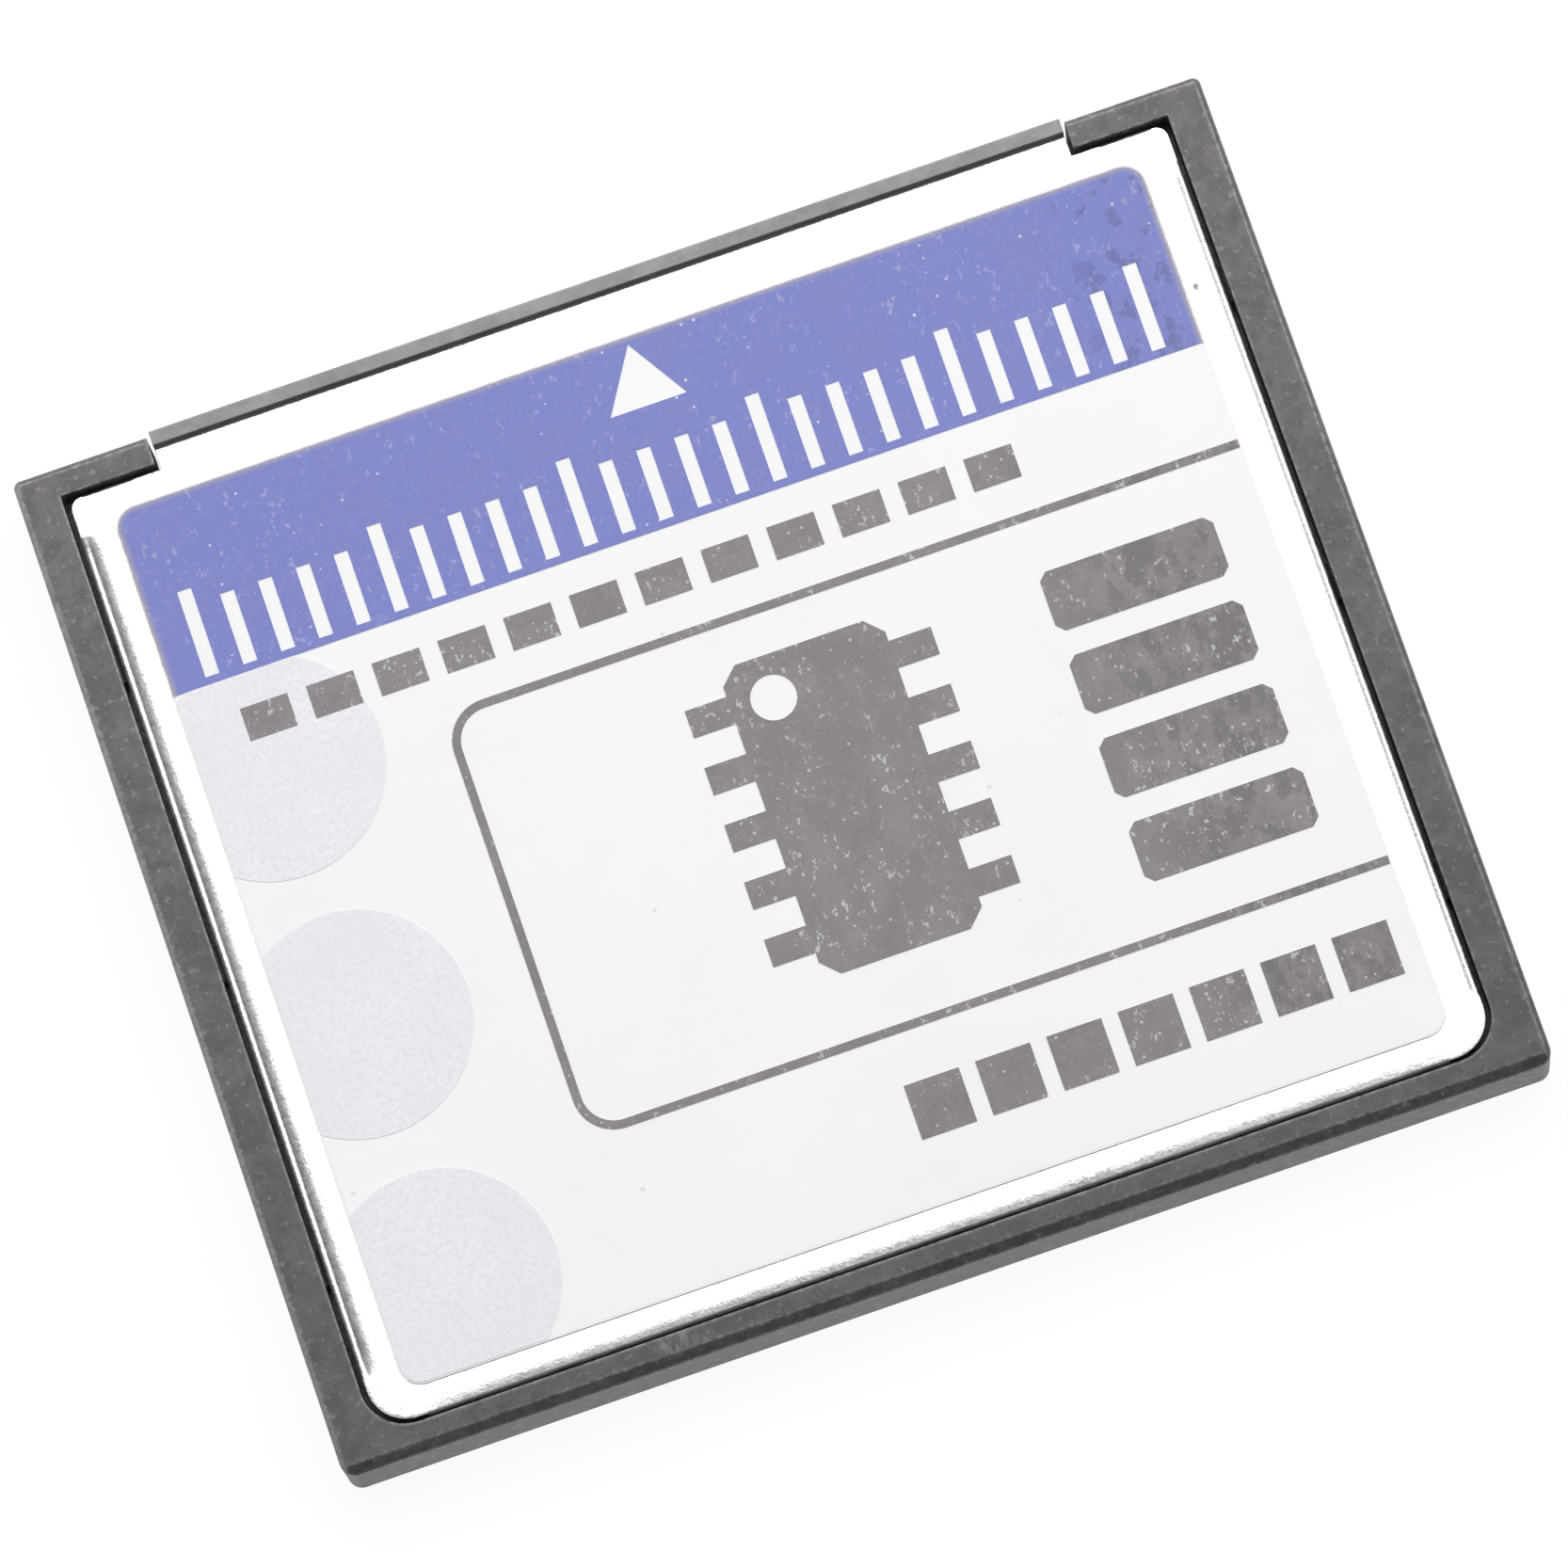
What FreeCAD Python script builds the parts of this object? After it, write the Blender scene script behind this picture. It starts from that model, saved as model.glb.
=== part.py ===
import FreeCAD, Part
import os
import re
import Sketcher

# Flash memory card: a moulded ring frame closed by two stamped steel covers,
# with a fifty-way socket strip along its front edge and a populated board inside.
# Millimetres. X runs across the card, +Y points at the socket edge, +Z at the label.
# The origin is the middle of the card's footprint, on the plane it rests on.

SIZES = {
    # Card envelope
    "card_width": 42.8,
    "card_length": 36.4,
    "card_height": 3.3,
    # Frame walls
    "rail_width": 1.43,
    "back_bar_depth": 1.0,
    "return_depth": 1.0,
    "return_length": 4.83,
    "return_setback": 0.15,
    "frame_back_radius": 0.5,
    "frame_front_radius": 0.25,
    "well_corner_radius": 1.55,
    "side_bevel": 0.18,
    "back_bevel": 0.35,
    "foot_bevel": 0.15,
    # Guide grooves in the frame's two sides
    "guide_depth": 0.57,
    "guide_length": 25.78,
    "left_guide_height": 1.6,
    "right_guide_height": 1.01,
    # Shelf and rib that carry the circuit board
    "shelf_underside": 1.0,
    "shelf_reach": 1.37,
    "ear_shelf_reach": 2.97,
    "ear_shelf_length": 2.45,
    "rib_top": 1.95,
    "rib_width": 0.92,
    "back_rib_width": 0.4,
    # Snap bosses on the frame walls and the windows they fill
    "boss_length": 1.4,
    "boss_reach": 0.25,
    "boss_spacing": 11.0,
    "boss_count": 3,
    "upper_boss_ledge": 2.28,
    "upper_boss_height": 0.37,
    "lower_boss_ledge": 0.78,
    "lower_boss_height": 0.22,
    "window_slack": 0.05,
    "window_end_slack": 0.15,
    # Steel covers
    "cover_recess": 0.25,
    "sheet_thickness": 0.15,
    "bend_radius": 0.25,
    "cover_side_gap": 0.19,
    "cover_end_gap": 0.18,
    "flange_stand_out": 0.05,
    "upper_flange_depth": 1.03,
    "lower_flange_depth": 0.7,
    "cover_back_radius": 1.4,
    "cover_front_radius": 0.45,
    "side_flange_front_inset": 1.4,
    "side_flange_back_inset": 1.8,
    "back_flange_inset": 1.7,
    "front_flange_length": 1.85,
    "front_flange_inset": 0.48,
    "tongue_gap": 0.12,
    "tongue_side_gap": 0.17,
    # Label and its print
    "label_side_margin": 1.25,
    "label_back_margin": 0.98,
    "label_front_margin": 0.91,
    "label_corner_radius": 0.8,
    "label_thickness": 0.08,
    "ink_thickness": 0.02,
    "ink_margin": 0.07,
    "band_length": 6.83,
    "arrow_width": 2.76,
    "arrow_height": 2.26,
    "arrow_margin": 0.25,
    "tick_width": 0.5,
    "tick_height": 2.6,
    "tall_tick_height": 3.15,
    "tick_end_margin": 1.53,
    "ticks_per_group": 5,
    "tick_groups": 5,
    "tick_margin": 0.28,
    "disc_inset": 2.38,
    "disc_front_margin": 10.26,
    "disc_back_margin": 2.98,
    "disc_gap": 1.48,
    "disc_count": 3,
    "line_frame_inset": 8.43,
    "line_frame_front_margin": 10.41,
    "line_frame_back_margin": 6.01,
    "line_frame_stroke": 0.3,
    "line_frame_radius": 1.45,
    "dash_gap": 0.66,
    "dash_width": 1.2,
    "dash_count": 12,
    "dash_inset": 2.03,
    "dash_right_inset": 7.37,
    "dash_margin": 8.58,
    "cell_size": 1.95,
    "cell_gap": 0.58,
    "cell_count": 7,
    "cell_inset": 0.85,
    "cell_margin": 2.3,
    "icon_width": 5.8,
    "icon_front_gap": 1.74,
    "icon_back_gap": 2.58,
    "icon_corner_cut": 0.6,
    "icon_leg_reach": 1.5,
    "icon_leg_width": 1.0,
    "icon_leg_end": 0.95,
    "icon_leg_count": 5,
    "icon_dot_radius": 0.8,
    "icon_dot_inset": 1.5,
    "icon_inset": 16.4,
    "stack_width": 6.2,
    "stack_front_gap": 2.19,
    "stack_back_gap": 2.06,
    "stack_bar_gap": 0.9,
    "stack_count": 4,
    "stack_corner_cut": 0.28,
    "stack_inset": 4.9,
    # Socket strip, whose end margin leaves its contacts 1.27 apart
    "lip_depth": 0.5,
    "lip_bevel": 0.08,
    "mouth_gap": 0.14,
    "housing_length": 4.4,
    "housing_cover_gap": 0.05,
    "row_end_margin": 1.19,
    "contact_count": 25,
    "row_spacing": 1.27,
    "socket_width": 0.5,
    "socket_height": 0.62,
    "lead_in": 0.13,
    "lead_in_angle": 45,
    "ear_overhang": 2.07,
    "ear_length": 2.3,
    "ear_gap": 0.1,
    # Socket contacts
    "contact_width": 0.3,
    "contact_thickness": 0.12,
    "contact_set_in": 1.0,
    "tail_exit": 0.05,
    "tail_turn": 0.06,
    "tail_foot": 0.8,
    # Circuit board
    "board_underside": 1.3,
    "board_thickness": 0.4,
    "board_clearance": 0.1,
    "board_front_gap": 0.5,
    "board_corner_cut": 0.7,
    # Memory chips, their leads and the controller
    "chip_height": 1.0,
    "chip_standoff": 0.05,
    "chip_bevel": 0.12,
    "chip_dimple_radius": 0.4,
    "chip_dimple_sides": 8,
    "chip_dimple_depth": 0.1,
    "chip_dimple_inset": 1.2,
    "lead_end_margin": 0.25,
    "lead_reach": 0.8,
    "lead_foot": 0.4,
    "lead_width": 0.22,
    "lead_thickness": 0.12,
    "lead_root": 0.5,
    "flash_width": 18.4,
    "flash_gap": 1.0,
    "flash_leads_per_end": 24,
    "flash_side_margin": 1.35,
    "flash_back_margin": 0.8,
    "flash_front_margin": 4.2,
    "controller_side": 7.0,
    "controller_lead_end": 0.75,
    "controller_leads_per_side": 12,
    "controller_side_margin": 1.2,
    "controller_front_margin": 4.6,
    # Clock crystal, regulator and small passives
    "part_gap": 1.0,
    "part_side_margin": 0.9,
    "crystal_width": 3.2,
    "crystal_length": 2.5,
    "crystal_height": 0.65,
    "crystal_lid_inset": 0.25,
    "crystal_lid_height": 0.15,
    "regulator_width": 2.9,
    "regulator_length": 1.6,
    "regulator_lead_pitch": 0.95,
    "regulator_lead_count": 3,
    "capacitor_width": 0.8,
    "capacitor_length": 1.6,
    "capacitor_height": 0.6,
    "terminal_length": 0.35,
    "terminal_step": 0.03,
    "capacitor_pitch": 1.6,
    "capacitor_count": 6,
    "capacitor_back_margin": 5.5,
    "resistor_width": 0.5,
    "resistor_length": 1.0,
    "resistor_height": 0.35,
    "resistor_pitch": 1.15,
    "resistor_count": 8,
    "resistor_back_margin": 3.0,
    "array_width": 2.0,
    "array_length": 1.0,
    "array_height": 0.45,
    "array_pitch": 3.1,
    "array_count": 4,
    "array_back_margin": 8.0,
    # Insulating films stuck inside the covers
    "film_thickness": 0.08,
    "film_margin": 1.0,
    "film_front_margin": 5.0,
}

# Places that follow from the sizes
PLACES = {
    "half_width": "card_width / 2",
    "card_front": "card_length / 2",
    "card_back": "-card_length / 2",
    "mid_height": "card_height / 2",
    "return_front": "card_front - return_setback",
    "return_inner": "return_front - return_depth",
    "mouth_half": "half_width - return_length",
    "wall_half": "half_width - rail_width",
    "wall_back": "card_back + back_bar_depth",
    "shelf_half": "wall_half - shelf_reach",
    "ear_shelf_half": "wall_half - ear_shelf_reach",
    "ear_shelf_back": "return_inner - ear_shelf_length",
    "seat_half": "wall_half - rib_width",
    "seat_back": "wall_back + back_rib_width",
    "boss_span": "boss_spacing * (boss_count - 1)",
    "upper_face": "card_height - cover_recess",
    "lower_face": "cover_recess",
    "upper_inside": "upper_face - sheet_thickness",
    "lower_inside": "lower_face + sheet_thickness",
    "cover_half": "wall_half - cover_side_gap",
    "cover_back": "wall_back + cover_end_gap",
    "cover_front": "return_inner - cover_end_gap",
    "flange_half": "cover_half + flange_stand_out",
    "flange_back": "cover_back - flange_stand_out",
    "flange_front": "cover_front + flange_stand_out",
    "side_flange_front": "cover_front - side_flange_front_inset",
    "side_flange_back": "cover_back + side_flange_back_inset",
    "back_flange_half": "cover_half - back_flange_inset",
    "front_flange_outer": "cover_half - front_flange_inset",
    "front_flange_inner": "front_flange_outer - front_flange_length",
    "lip_back": "card_front - lip_depth",
    "tongue_front": "lip_back - tongue_gap",
    "tongue_half": "mouth_half - tongue_side_gap",
    "housing_half": "mouth_half - mouth_gap",
    "housing_back": "card_front - housing_length",
    "housing_low": "lower_inside + housing_cover_gap",
    "housing_high": "upper_inside - housing_cover_gap",
    "ear_front": "return_inner - ear_gap",
    "ear_half": "housing_half + ear_overhang",
    "upper_row": "mid_height + row_spacing / 2",
    "lower_row": "mid_height - row_spacing / 2",
    "row_half": "housing_half - row_end_margin",
    "board_top": "board_underside + board_thickness",
    "board_half": "seat_half - board_clearance",
    "board_back": "seat_back + board_clearance",
    "board_front": "housing_back - board_front_gap",
    "knee": "board_front - tail_turn",
    "flash_room": "board_front - flash_front_margin - board_back - flash_back_margin",
    "flash_length": "(flash_room - flash_gap) / 2",
    "flash_x": "board_half - flash_side_margin - flash_width / 2",
    "rear_flash_y": "board_back + flash_back_margin + flash_length / 2",
    "front_flash_y": "board_front - flash_front_margin - flash_length / 2",
    "flash_lead_span": "flash_length - lead_end_margin * 2",
    "controller_x": "controller_side_margin + controller_side / 2 - board_half",
    "controller_y": "board_front - controller_front_margin - controller_side / 2",
    "controller_back": "controller_y - controller_side / 2 - lead_reach",
    "controller_lead_span": "controller_side - controller_lead_end * 2",
    "part_left": "part_side_margin - board_half",
    "crystal_x": "part_left + crystal_width / 2",
    "crystal_y": "controller_back - part_gap - crystal_length / 2",
    "regulator_x": "part_left + crystal_width + part_gap + regulator_width / 2",
    "regulator_y": "controller_back - part_gap - lead_reach - regulator_length / 2",
    "regulator_lead_span": "regulator_lead_pitch * (regulator_lead_count - 1)",
    "capacitor_x": "part_left + capacitor_width / 2",
    "capacitor_y": "board_back + capacitor_back_margin",
    "resistor_x": "part_left + resistor_width / 2",
    "resistor_y": "board_back + resistor_back_margin",
    "array_x": "part_left + array_width / 2",
    "array_y": "board_back + array_back_margin",
    "label_half": "cover_half - label_side_margin",
    "label_back": "cover_back + label_back_margin",
    "label_front": "cover_front - label_front_margin",
    "label_top": "upper_face + label_thickness",
    "print_half": "label_half - ink_margin",
    "print_back": "label_back + ink_margin",
    "print_front": "label_front - ink_margin",
    "print_radius": "label_corner_radius - ink_margin",
    "band_back": "label_front - band_length",
    "tick_half": "label_half - tick_end_margin",
    "tick_pitch": "tick_half * 2 / (ticks_per_group * tick_groups)",
    "disc_front_y": "label_front - disc_front_margin",
    "disc_pitch": "(disc_front_y - label_back - disc_back_margin) / (disc_count - 1)",
    "disc_radius": "(disc_pitch - disc_gap) / 2",
    "dash_left": "dash_inset - label_half",
    "dash_pitch": "(label_half - dash_right_inset - dash_left + dash_gap) / dash_count",
    "dash_length": "dash_pitch - dash_gap",
    "dash_y": "label_front - dash_margin",
    "cell_pitch": "cell_size + cell_gap",
    "line_frame_left": "line_frame_inset - label_half",
    "line_frame_front": "label_front - line_frame_front_margin",
    "line_frame_back": "label_back + line_frame_back_margin",
    "icon_front": "line_frame_front - icon_front_gap",
    "icon_back": "line_frame_back + icon_back_gap",
    "icon_height": "icon_front - icon_back",
    "icon_leg_half": "icon_height / 2 - icon_leg_end - icon_leg_width / 2",
    "stack_front": "line_frame_front - stack_front_gap",
    "stack_back": "line_frame_back + stack_back_gap",
    "stack_pitch": "(stack_front - stack_back + stack_bar_gap) / stack_count",
    "stack_bar": "stack_pitch - stack_bar_gap",
}


def add_sheet(name, cells):
    """Spreadsheet with one named cell in each row."""
    table = doc.addObject("Spreadsheet::Sheet", name)
    for row, (alias, content) in enumerate(cells.items(), 1):
        table.set(f"A{row}", alias)
        table.set(f"B{row}", content)
        table.setAlias(f"B{row}", alias)
    return table


def bound(formula):
    """A formula over the names above, written so that any object can hold it."""
    def owner(match):
        word = match.group()
        if word in SIZES:
            return f"Sizes.{word}"
        return f"Places.{word}" if word in PLACES else word
    return re.sub(r"[a-z][a-z_]+", owner, formula)


doc = FreeCAD.newDocument("FlashCard")
sizes = add_sheet("Sizes", {alias: str(number) for alias, number in SIZES.items()})
doc.recompute()
places = add_sheet("Places", {alias: "=" + bound(formula) for alias, formula in PLACES.items()})
doc.recompute()


def value(formula):
    """Present number of a formula."""
    return float(places.evalExpression(bound(formula)))


def minus(formula):
    return f"-({formula})"


def origin_part(body, role):
    return next(item for item in body.Origin.OriginFeatures if item.Role == role)


def new_body(label):
    body = doc.addObject("PartDesign::Body", label)
    body.Label = label
    return body


def stand_at(body, across, along, up):
    """Bind where a body that is drawn about its own origin stands on the card."""
    for axis, formula in zip("xyz", (across, along, up)):
        body.setExpression(f"Placement.Base.{axis}", bound(formula))


# Sketches. On XZ_Plane the normal is -Y, so a level there is minus the Y that is meant.
def new_sketch(body, name, plane, level="0"):
    drawing = body.newObject("Sketcher::SketchObject", f"{body.Label}_{name}")
    drawing.AttachmentSupport = [(origin_part(body, plane), "")]
    drawing.MapMode = "FlatFace"
    drawing.setExpression("AttachmentOffset.Base.z", bound(level))
    return drawing


def pin_point(drawing, curve, end, across, along):
    """Hold one end of a curve at two formulas."""
    for kind, formula in (("DistanceX", across), ("DistanceY", along)):
        index = drawing.addConstraint(Sketcher.Constraint(kind, curve, end, value(formula)))
        drawing.setExpression(f"Constraints[{index}]", bound(formula))


def add_polygon(drawing, corners):
    """Closed outline of straight lines through corners given as formulas."""
    first = drawing.GeometryCount
    points = [FreeCAD.Vector(value(across), value(along), 0) for across, along in corners]
    count = len(points)
    for index in range(count):
        drawing.addGeometry(Part.LineSegment(points[index], points[(index + 1) % count]), False)
    for index in range(count):
        following = first + (index + 1) % count
        drawing.addConstraint(Sketcher.Constraint("Coincident", first + index, 2, following, 1))
    for index, (across, along) in enumerate(corners):
        pin_point(drawing, first + index, 1, across, along)


def add_rectangle(drawing, left, right, back, front):
    add_polygon(drawing, [(left, back), (right, back), (right, front), (left, front)])


def add_circle(drawing, across, along, radius):
    centre = FreeCAD.Vector(value(across), value(along), 0)
    index = drawing.addGeometry(Part.Circle(centre, FreeCAD.Vector(0, 0, 1), value(radius)), False)
    pin_point(drawing, index, 3, across, along)
    limit = drawing.addConstraint(Sketcher.Constraint("Radius", index, value(radius)))
    drawing.setExpression(f"Constraints[{limit}]", bound(radius))


def add_line(drawing, start, end, start_on=None):
    """Straight line between two pairs of formulas; start_on is a curve's end that it starts from."""
    points = [FreeCAD.Vector(value(across), value(along), 0) for across, along in (start, end)]
    index = drawing.addGeometry(Part.LineSegment(*points), False)
    if start_on:
        drawing.addConstraint(Sketcher.Constraint("Coincident", index, 1, *start_on))
    else:
        pin_point(drawing, index, 1, *start)
    pin_point(drawing, index, 2, *end)
    return index


def add_link(drawing, first, last):
    """Straight line from one curve's end to another's."""
    index = drawing.addGeometry(Part.LineSegment(drawing.getPoint(*first), drawing.getPoint(*last)), False)
    drawing.addConstraint(Sketcher.Constraint("Coincident", index, 1, *first))
    drawing.addConstraint(Sketcher.Constraint("Coincident", index, 2, *last))


def add_round(drawing, first, last, centre, radius):
    """Quarter circle about a pair of formulas, from one line's end to another's."""
    points = [drawing.getPoint(*place) for place in (first, last)]
    middle = FreeCAD.Vector(value(centre[0]), value(centre[1]), 0)
    halfway = middle + (points[0] + points[1] - middle * 2).normalize() * value(radius)
    arc = drawing.addGeometry(Part.Arc(points[0], halfway, points[1]), False)
    if not drawing.getPoint(arc, 1).isEqual(points[0], 1e-6):
        first, last = last, first
    drawing.addConstraint(Sketcher.Constraint("Coincident", arc, 1, *first))
    drawing.addConstraint(Sketcher.Constraint("Coincident", arc, 2, *last))
    limit = drawing.addConstraint(Sketcher.Constraint("Radius", arc, value(radius)))
    drawing.setExpression(f"Constraints[{limit}]", bound(radius))


def add_bent_lip(drawing, outward, flange, face, turn, lip_end):
    """Section of sheet that leaves a flat face, bends through a right angle and ends.

    outward is the sign from the bend line to the flange's outer face, and turn is the
    sign of the direction in which the flange runs.
    """
    bend_line = f"{flange} - {outward} * bend_radius"
    flange_inner = f"{flange} - {outward} * sheet_thickness"
    bend_end = f"{face} + {turn} * bend_radius"
    bend = add_line(drawing, (bend_line, f"{face} + {turn} * sheet_thickness"), (bend_line, face))
    outer = add_line(drawing, (flange, bend_end), (flange, lip_end))
    inner = add_line(drawing, (flange_inner, lip_end), (flange_inner, bend_end))
    add_link(drawing, (outer, 2), (inner, 1))
    centre = (bend_line, bend_end)
    add_round(drawing, (bend, 2), (outer, 1), centre, "bend_radius")
    add_round(drawing, (inner, 2), (bend, 1), centre, "bend_radius - sheet_thickness")


# Features
def extrude(body, drawing, kind, length, backwards, both_ways):
    feature = body.newObject(f"PartDesign::{kind}", f"{drawing.Name}_{kind.lower()}")
    feature.Profile = drawing
    feature.setExpression("Length", bound(length))
    feature.Reversed = backwards
    feature.Midplane = both_ways
    return feature


def pad(body, drawing, length, backwards=False, both_ways=False):
    return extrude(body, drawing, "Pad", length, backwards, both_ways)


def pocket(body, drawing, length, forwards=False, both_ways=False):
    """Cut against the sketch's normal, or along it when forwards."""
    return extrude(body, drawing, "Pocket", length, forwards, both_ways)


def line_up(body, features, axis, span, count, name):
    """Row of copies along one of the body's axes, span long from first to last."""
    row = body.newObject("PartDesign::LinearPattern", f"{body.Label}_{name}")
    row.Originals = features
    row.Direction = (origin_part(body, axis), [""])
    row.setExpression("Length", bound(span))
    row.setExpression("Occurrences", bound(count))
    body.Tip = row
    return row


def dress(body, kind, name, radius, wanted):
    """Fillet or Chamfer on the straight edges of the body so far that meet a test of their ends."""
    doc.recompute()
    base = body.Tip
    chosen = []
    for index, edge in enumerate(base.Shape.Edges, 1):
        straight = edge.Curve.TypeId == "Part::GeomLine"
        if straight and wanted(edge.Vertexes[0].Point, edge.Vertexes[-1].Point):
            chosen.append(f"Edge{index}")
    if not chosen:
        raise RuntimeError(f"{body.Label}: no edge found for {name}")
    feature = body.newObject(f"PartDesign::{kind}", f"{body.Label}_{name}")
    feature.Base = (base, chosen)
    feature.setExpression("Radius" if kind == "Fillet" else "Size", bound(radius))
    return feature


def same(first, second):
    """Whether two places in millimetres are one but for rounding."""
    return abs(first - second) < 1e-4


def near(number, formula):
    return same(number, value(formula))


def upright(corners):
    """Test for an upright edge at one of the corners, given as pairs of formulas."""
    def wanted(start, end):
        plumb = same(start.x, end.x) and same(start.y, end.y)
        return plumb and any(near(start.x, across) and near(start.y, along) for across, along in corners)
    return wanted


def both_sides(across, along):
    return [(across, along), (minus(across), along)]


def level_along(axis, level, places_across, across_axis):
    """Test for an edge at one height that runs along an axis at one of the given places."""
    def wanted(start, end):
        flat = near(start.z, level) and near(end.z, level)
        runs = not same(getattr(start, axis), getattr(end, axis))
        first = getattr(start, across_axis)
        last = getattr(end, across_axis)
        return flat and runs and any(near(first, place) and near(last, place) for place in places_across)
    return wanted


def plain_block(body, name, left, right, back, front, low, high):
    """Rectangular pad between six formulas."""
    plan = new_sketch(body, name, "XY_Plane", low)
    add_rectangle(plan, left, right, back, front)
    return pad(body, plan, f"{high} - ({low})")


# Frame: one moulding, open at the front between its two returns
def make_card_frame():
    body = new_body("card_frame")
    plain_block(body, "block", "-half_width", "half_width", "card_back", "return_front", "0", "card_height")

    window = new_sketch(body, "window", "XY_Plane")
    right_side = [
        ("shelf_half", "wall_back + shelf_reach"),
        ("shelf_half", "ear_shelf_back"),
        ("ear_shelf_half", "ear_shelf_back"),
        ("ear_shelf_half", "return_inner"),
        ("mouth_half", "return_inner"),
        ("mouth_half", "return_front"),
    ]
    left_side = [(minus(across), along) for across, along in reversed(right_side)]
    add_polygon(window, right_side + left_side)
    pocket(body, window, "card_height", forwards=True)

    upper_well = new_sketch(body, "upper_well", "XY_Plane", "card_height")
    add_rectangle(upper_well, "-wall_half", "wall_half", "wall_back", "return_inner")
    pocket(body, upper_well, "card_height - rib_top")
    lower_well = new_sketch(body, "lower_well", "XY_Plane")
    add_rectangle(lower_well, "-wall_half", "wall_half", "wall_back", "return_inner")
    pocket(body, lower_well, "shelf_underside", forwards=True)
    seat = new_sketch(body, "board_seat", "XY_Plane", "rib_top")
    add_rectangle(seat, "-seat_half", "seat_half", "seat_back", "return_inner")
    pocket(body, seat, "rib_top - board_underside")

    back_corners = both_sides("half_width", "card_back")
    dress(body, "Fillet", "back_corners", "frame_back_radius", upright(back_corners))
    front_corners = both_sides("half_width", "return_front")
    dress(body, "Fillet", "front_corners", "frame_front_radius", upright(front_corners))
    well_corners = both_sides("wall_half", "wall_back")
    dress(body, "Fillet", "well_corners", "well_corner_radius", upright(well_corners))

    # Each bevel follows the rounded corners round to the returns, and the back's is then cut wider
    dress(body, "Chamfer", "top_bevel", "side_bevel", level_along("x", "card_height", ["card_back"], "y"))
    dress(body, "Chamfer", "foot_bevel", "foot_bevel", level_along("x", "0", ["card_back"], "y"))
    slope = new_sketch(body, "back_bevel", "YZ_Plane")
    add_polygon(slope, [("card_back", "card_height - back_bevel"), ("card_back + back_bevel", "card_height"),
                        ("card_back", "card_height")])
    pocket(body, slope, "card_width", both_ways=True)

    for side, sign in (("left", "-"), ("right", "")):
        groove = new_sketch(body, f"{side}_guide", "XZ_Plane", "-return_front")
        add_rectangle(groove, f"{sign}(half_width - guide_depth)", f"{sign}half_width",
                      f"mid_height - {side}_guide_height / 2", f"mid_height + {side}_guide_height / 2")
        pocket(body, groove, "guide_length", forwards=True)

    for level, tip in (("upper", "upper_boss_ledge + upper_boss_height"),
                       ("lower", "lower_boss_ledge - lower_boss_height")):
        wedge = new_sketch(body, f"{level}_boss", "XZ_Plane", "boss_span / 2")
        for sign in ("", "-"):
            add_polygon(wedge, [
                (f"{sign}wall_half", f"{level}_boss_ledge"),
                (f"{sign}wall_half", tip),
                (f"{sign}(wall_half - boss_reach)", f"{level}_boss_ledge"),
            ])
        boss = pad(body, wedge, "boss_length", both_ways=True)
        line_up(body, [boss], "Y_Axis", "boss_span", "boss_count", f"{level}_bosses")
    return body


# Covers: flat sheets with bent flanges that snap over the frame's bosses
def make_cover(label, face, turn, flange_end, boss_low, boss_high):
    """face is the outer face's height, and turn the sign of the way to the card's middle."""
    body = new_body(label)
    blank = new_sketch(body, "blank", "XY_Plane", face)
    right_side = [
        ("tongue_half", "tongue_front"),
        ("tongue_half", "cover_front"),
        ("front_flange_inner", "cover_front"),
        ("front_flange_inner", "flange_front - bend_radius"),
        ("front_flange_outer", "flange_front - bend_radius"),
        ("front_flange_outer", "cover_front"),
        ("cover_half", "cover_front"),
        ("cover_half", "side_flange_front"),
        ("flange_half - bend_radius", "side_flange_front"),
        ("flange_half - bend_radius", "side_flange_back"),
        ("cover_half", "side_flange_back"),
        ("cover_half", "cover_back"),
        ("back_flange_half", "cover_back"),
        ("back_flange_half", "flange_back + bend_radius"),
    ]
    left_side = [(minus(across), along) for across, along in reversed(right_side)]
    add_polygon(blank, right_side + left_side)
    pad(body, blank, "sheet_thickness", backwards=(turn == "-1"))
    dress(body, "Fillet", "back_corners", "cover_back_radius",
          upright(both_sides("cover_half", "cover_back")))
    dress(body, "Fillet", "front_corners", "cover_front_radius",
          upright(both_sides("cover_half", "cover_front")))

    sides = new_sketch(body, "side_flanges", "XZ_Plane", "-side_flange_front")
    add_bent_lip(sides, "1", "flange_half", face, turn, flange_end)
    add_bent_lip(sides, "-1", "-flange_half", face, turn, flange_end)
    pad(body, sides, "side_flange_front - side_flange_back")
    rear = new_sketch(body, "back_flange", "YZ_Plane", "-back_flange_half")
    add_bent_lip(rear, "-1", "flange_back", face, turn, flange_end)
    pad(body, rear, "back_flange_half * 2")
    for side, level in (("right", "front_flange_inner"), ("left", "-front_flange_outer")):
        corner = new_sketch(body, f"{side}_front_flange", "YZ_Plane", level)
        add_bent_lip(corner, "1", "flange_front", face, turn, flange_end)
        pad(body, corner, "front_flange_length")

    opening = new_sketch(body, "snap_window", "YZ_Plane")
    middle = "-boss_span / 2"
    half_opening = "(boss_length / 2 + window_end_slack)"
    add_rectangle(opening, f"{middle} - {half_opening}", f"{middle} + {half_opening}",
                  f"{boss_low} - window_slack", f"{boss_high} + window_slack")
    window = pocket(body, opening, "card_width", both_ways=True)
    line_up(body, [window], "Y_Axis", "boss_span", "boss_count", "snap_windows")
    return body


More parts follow.
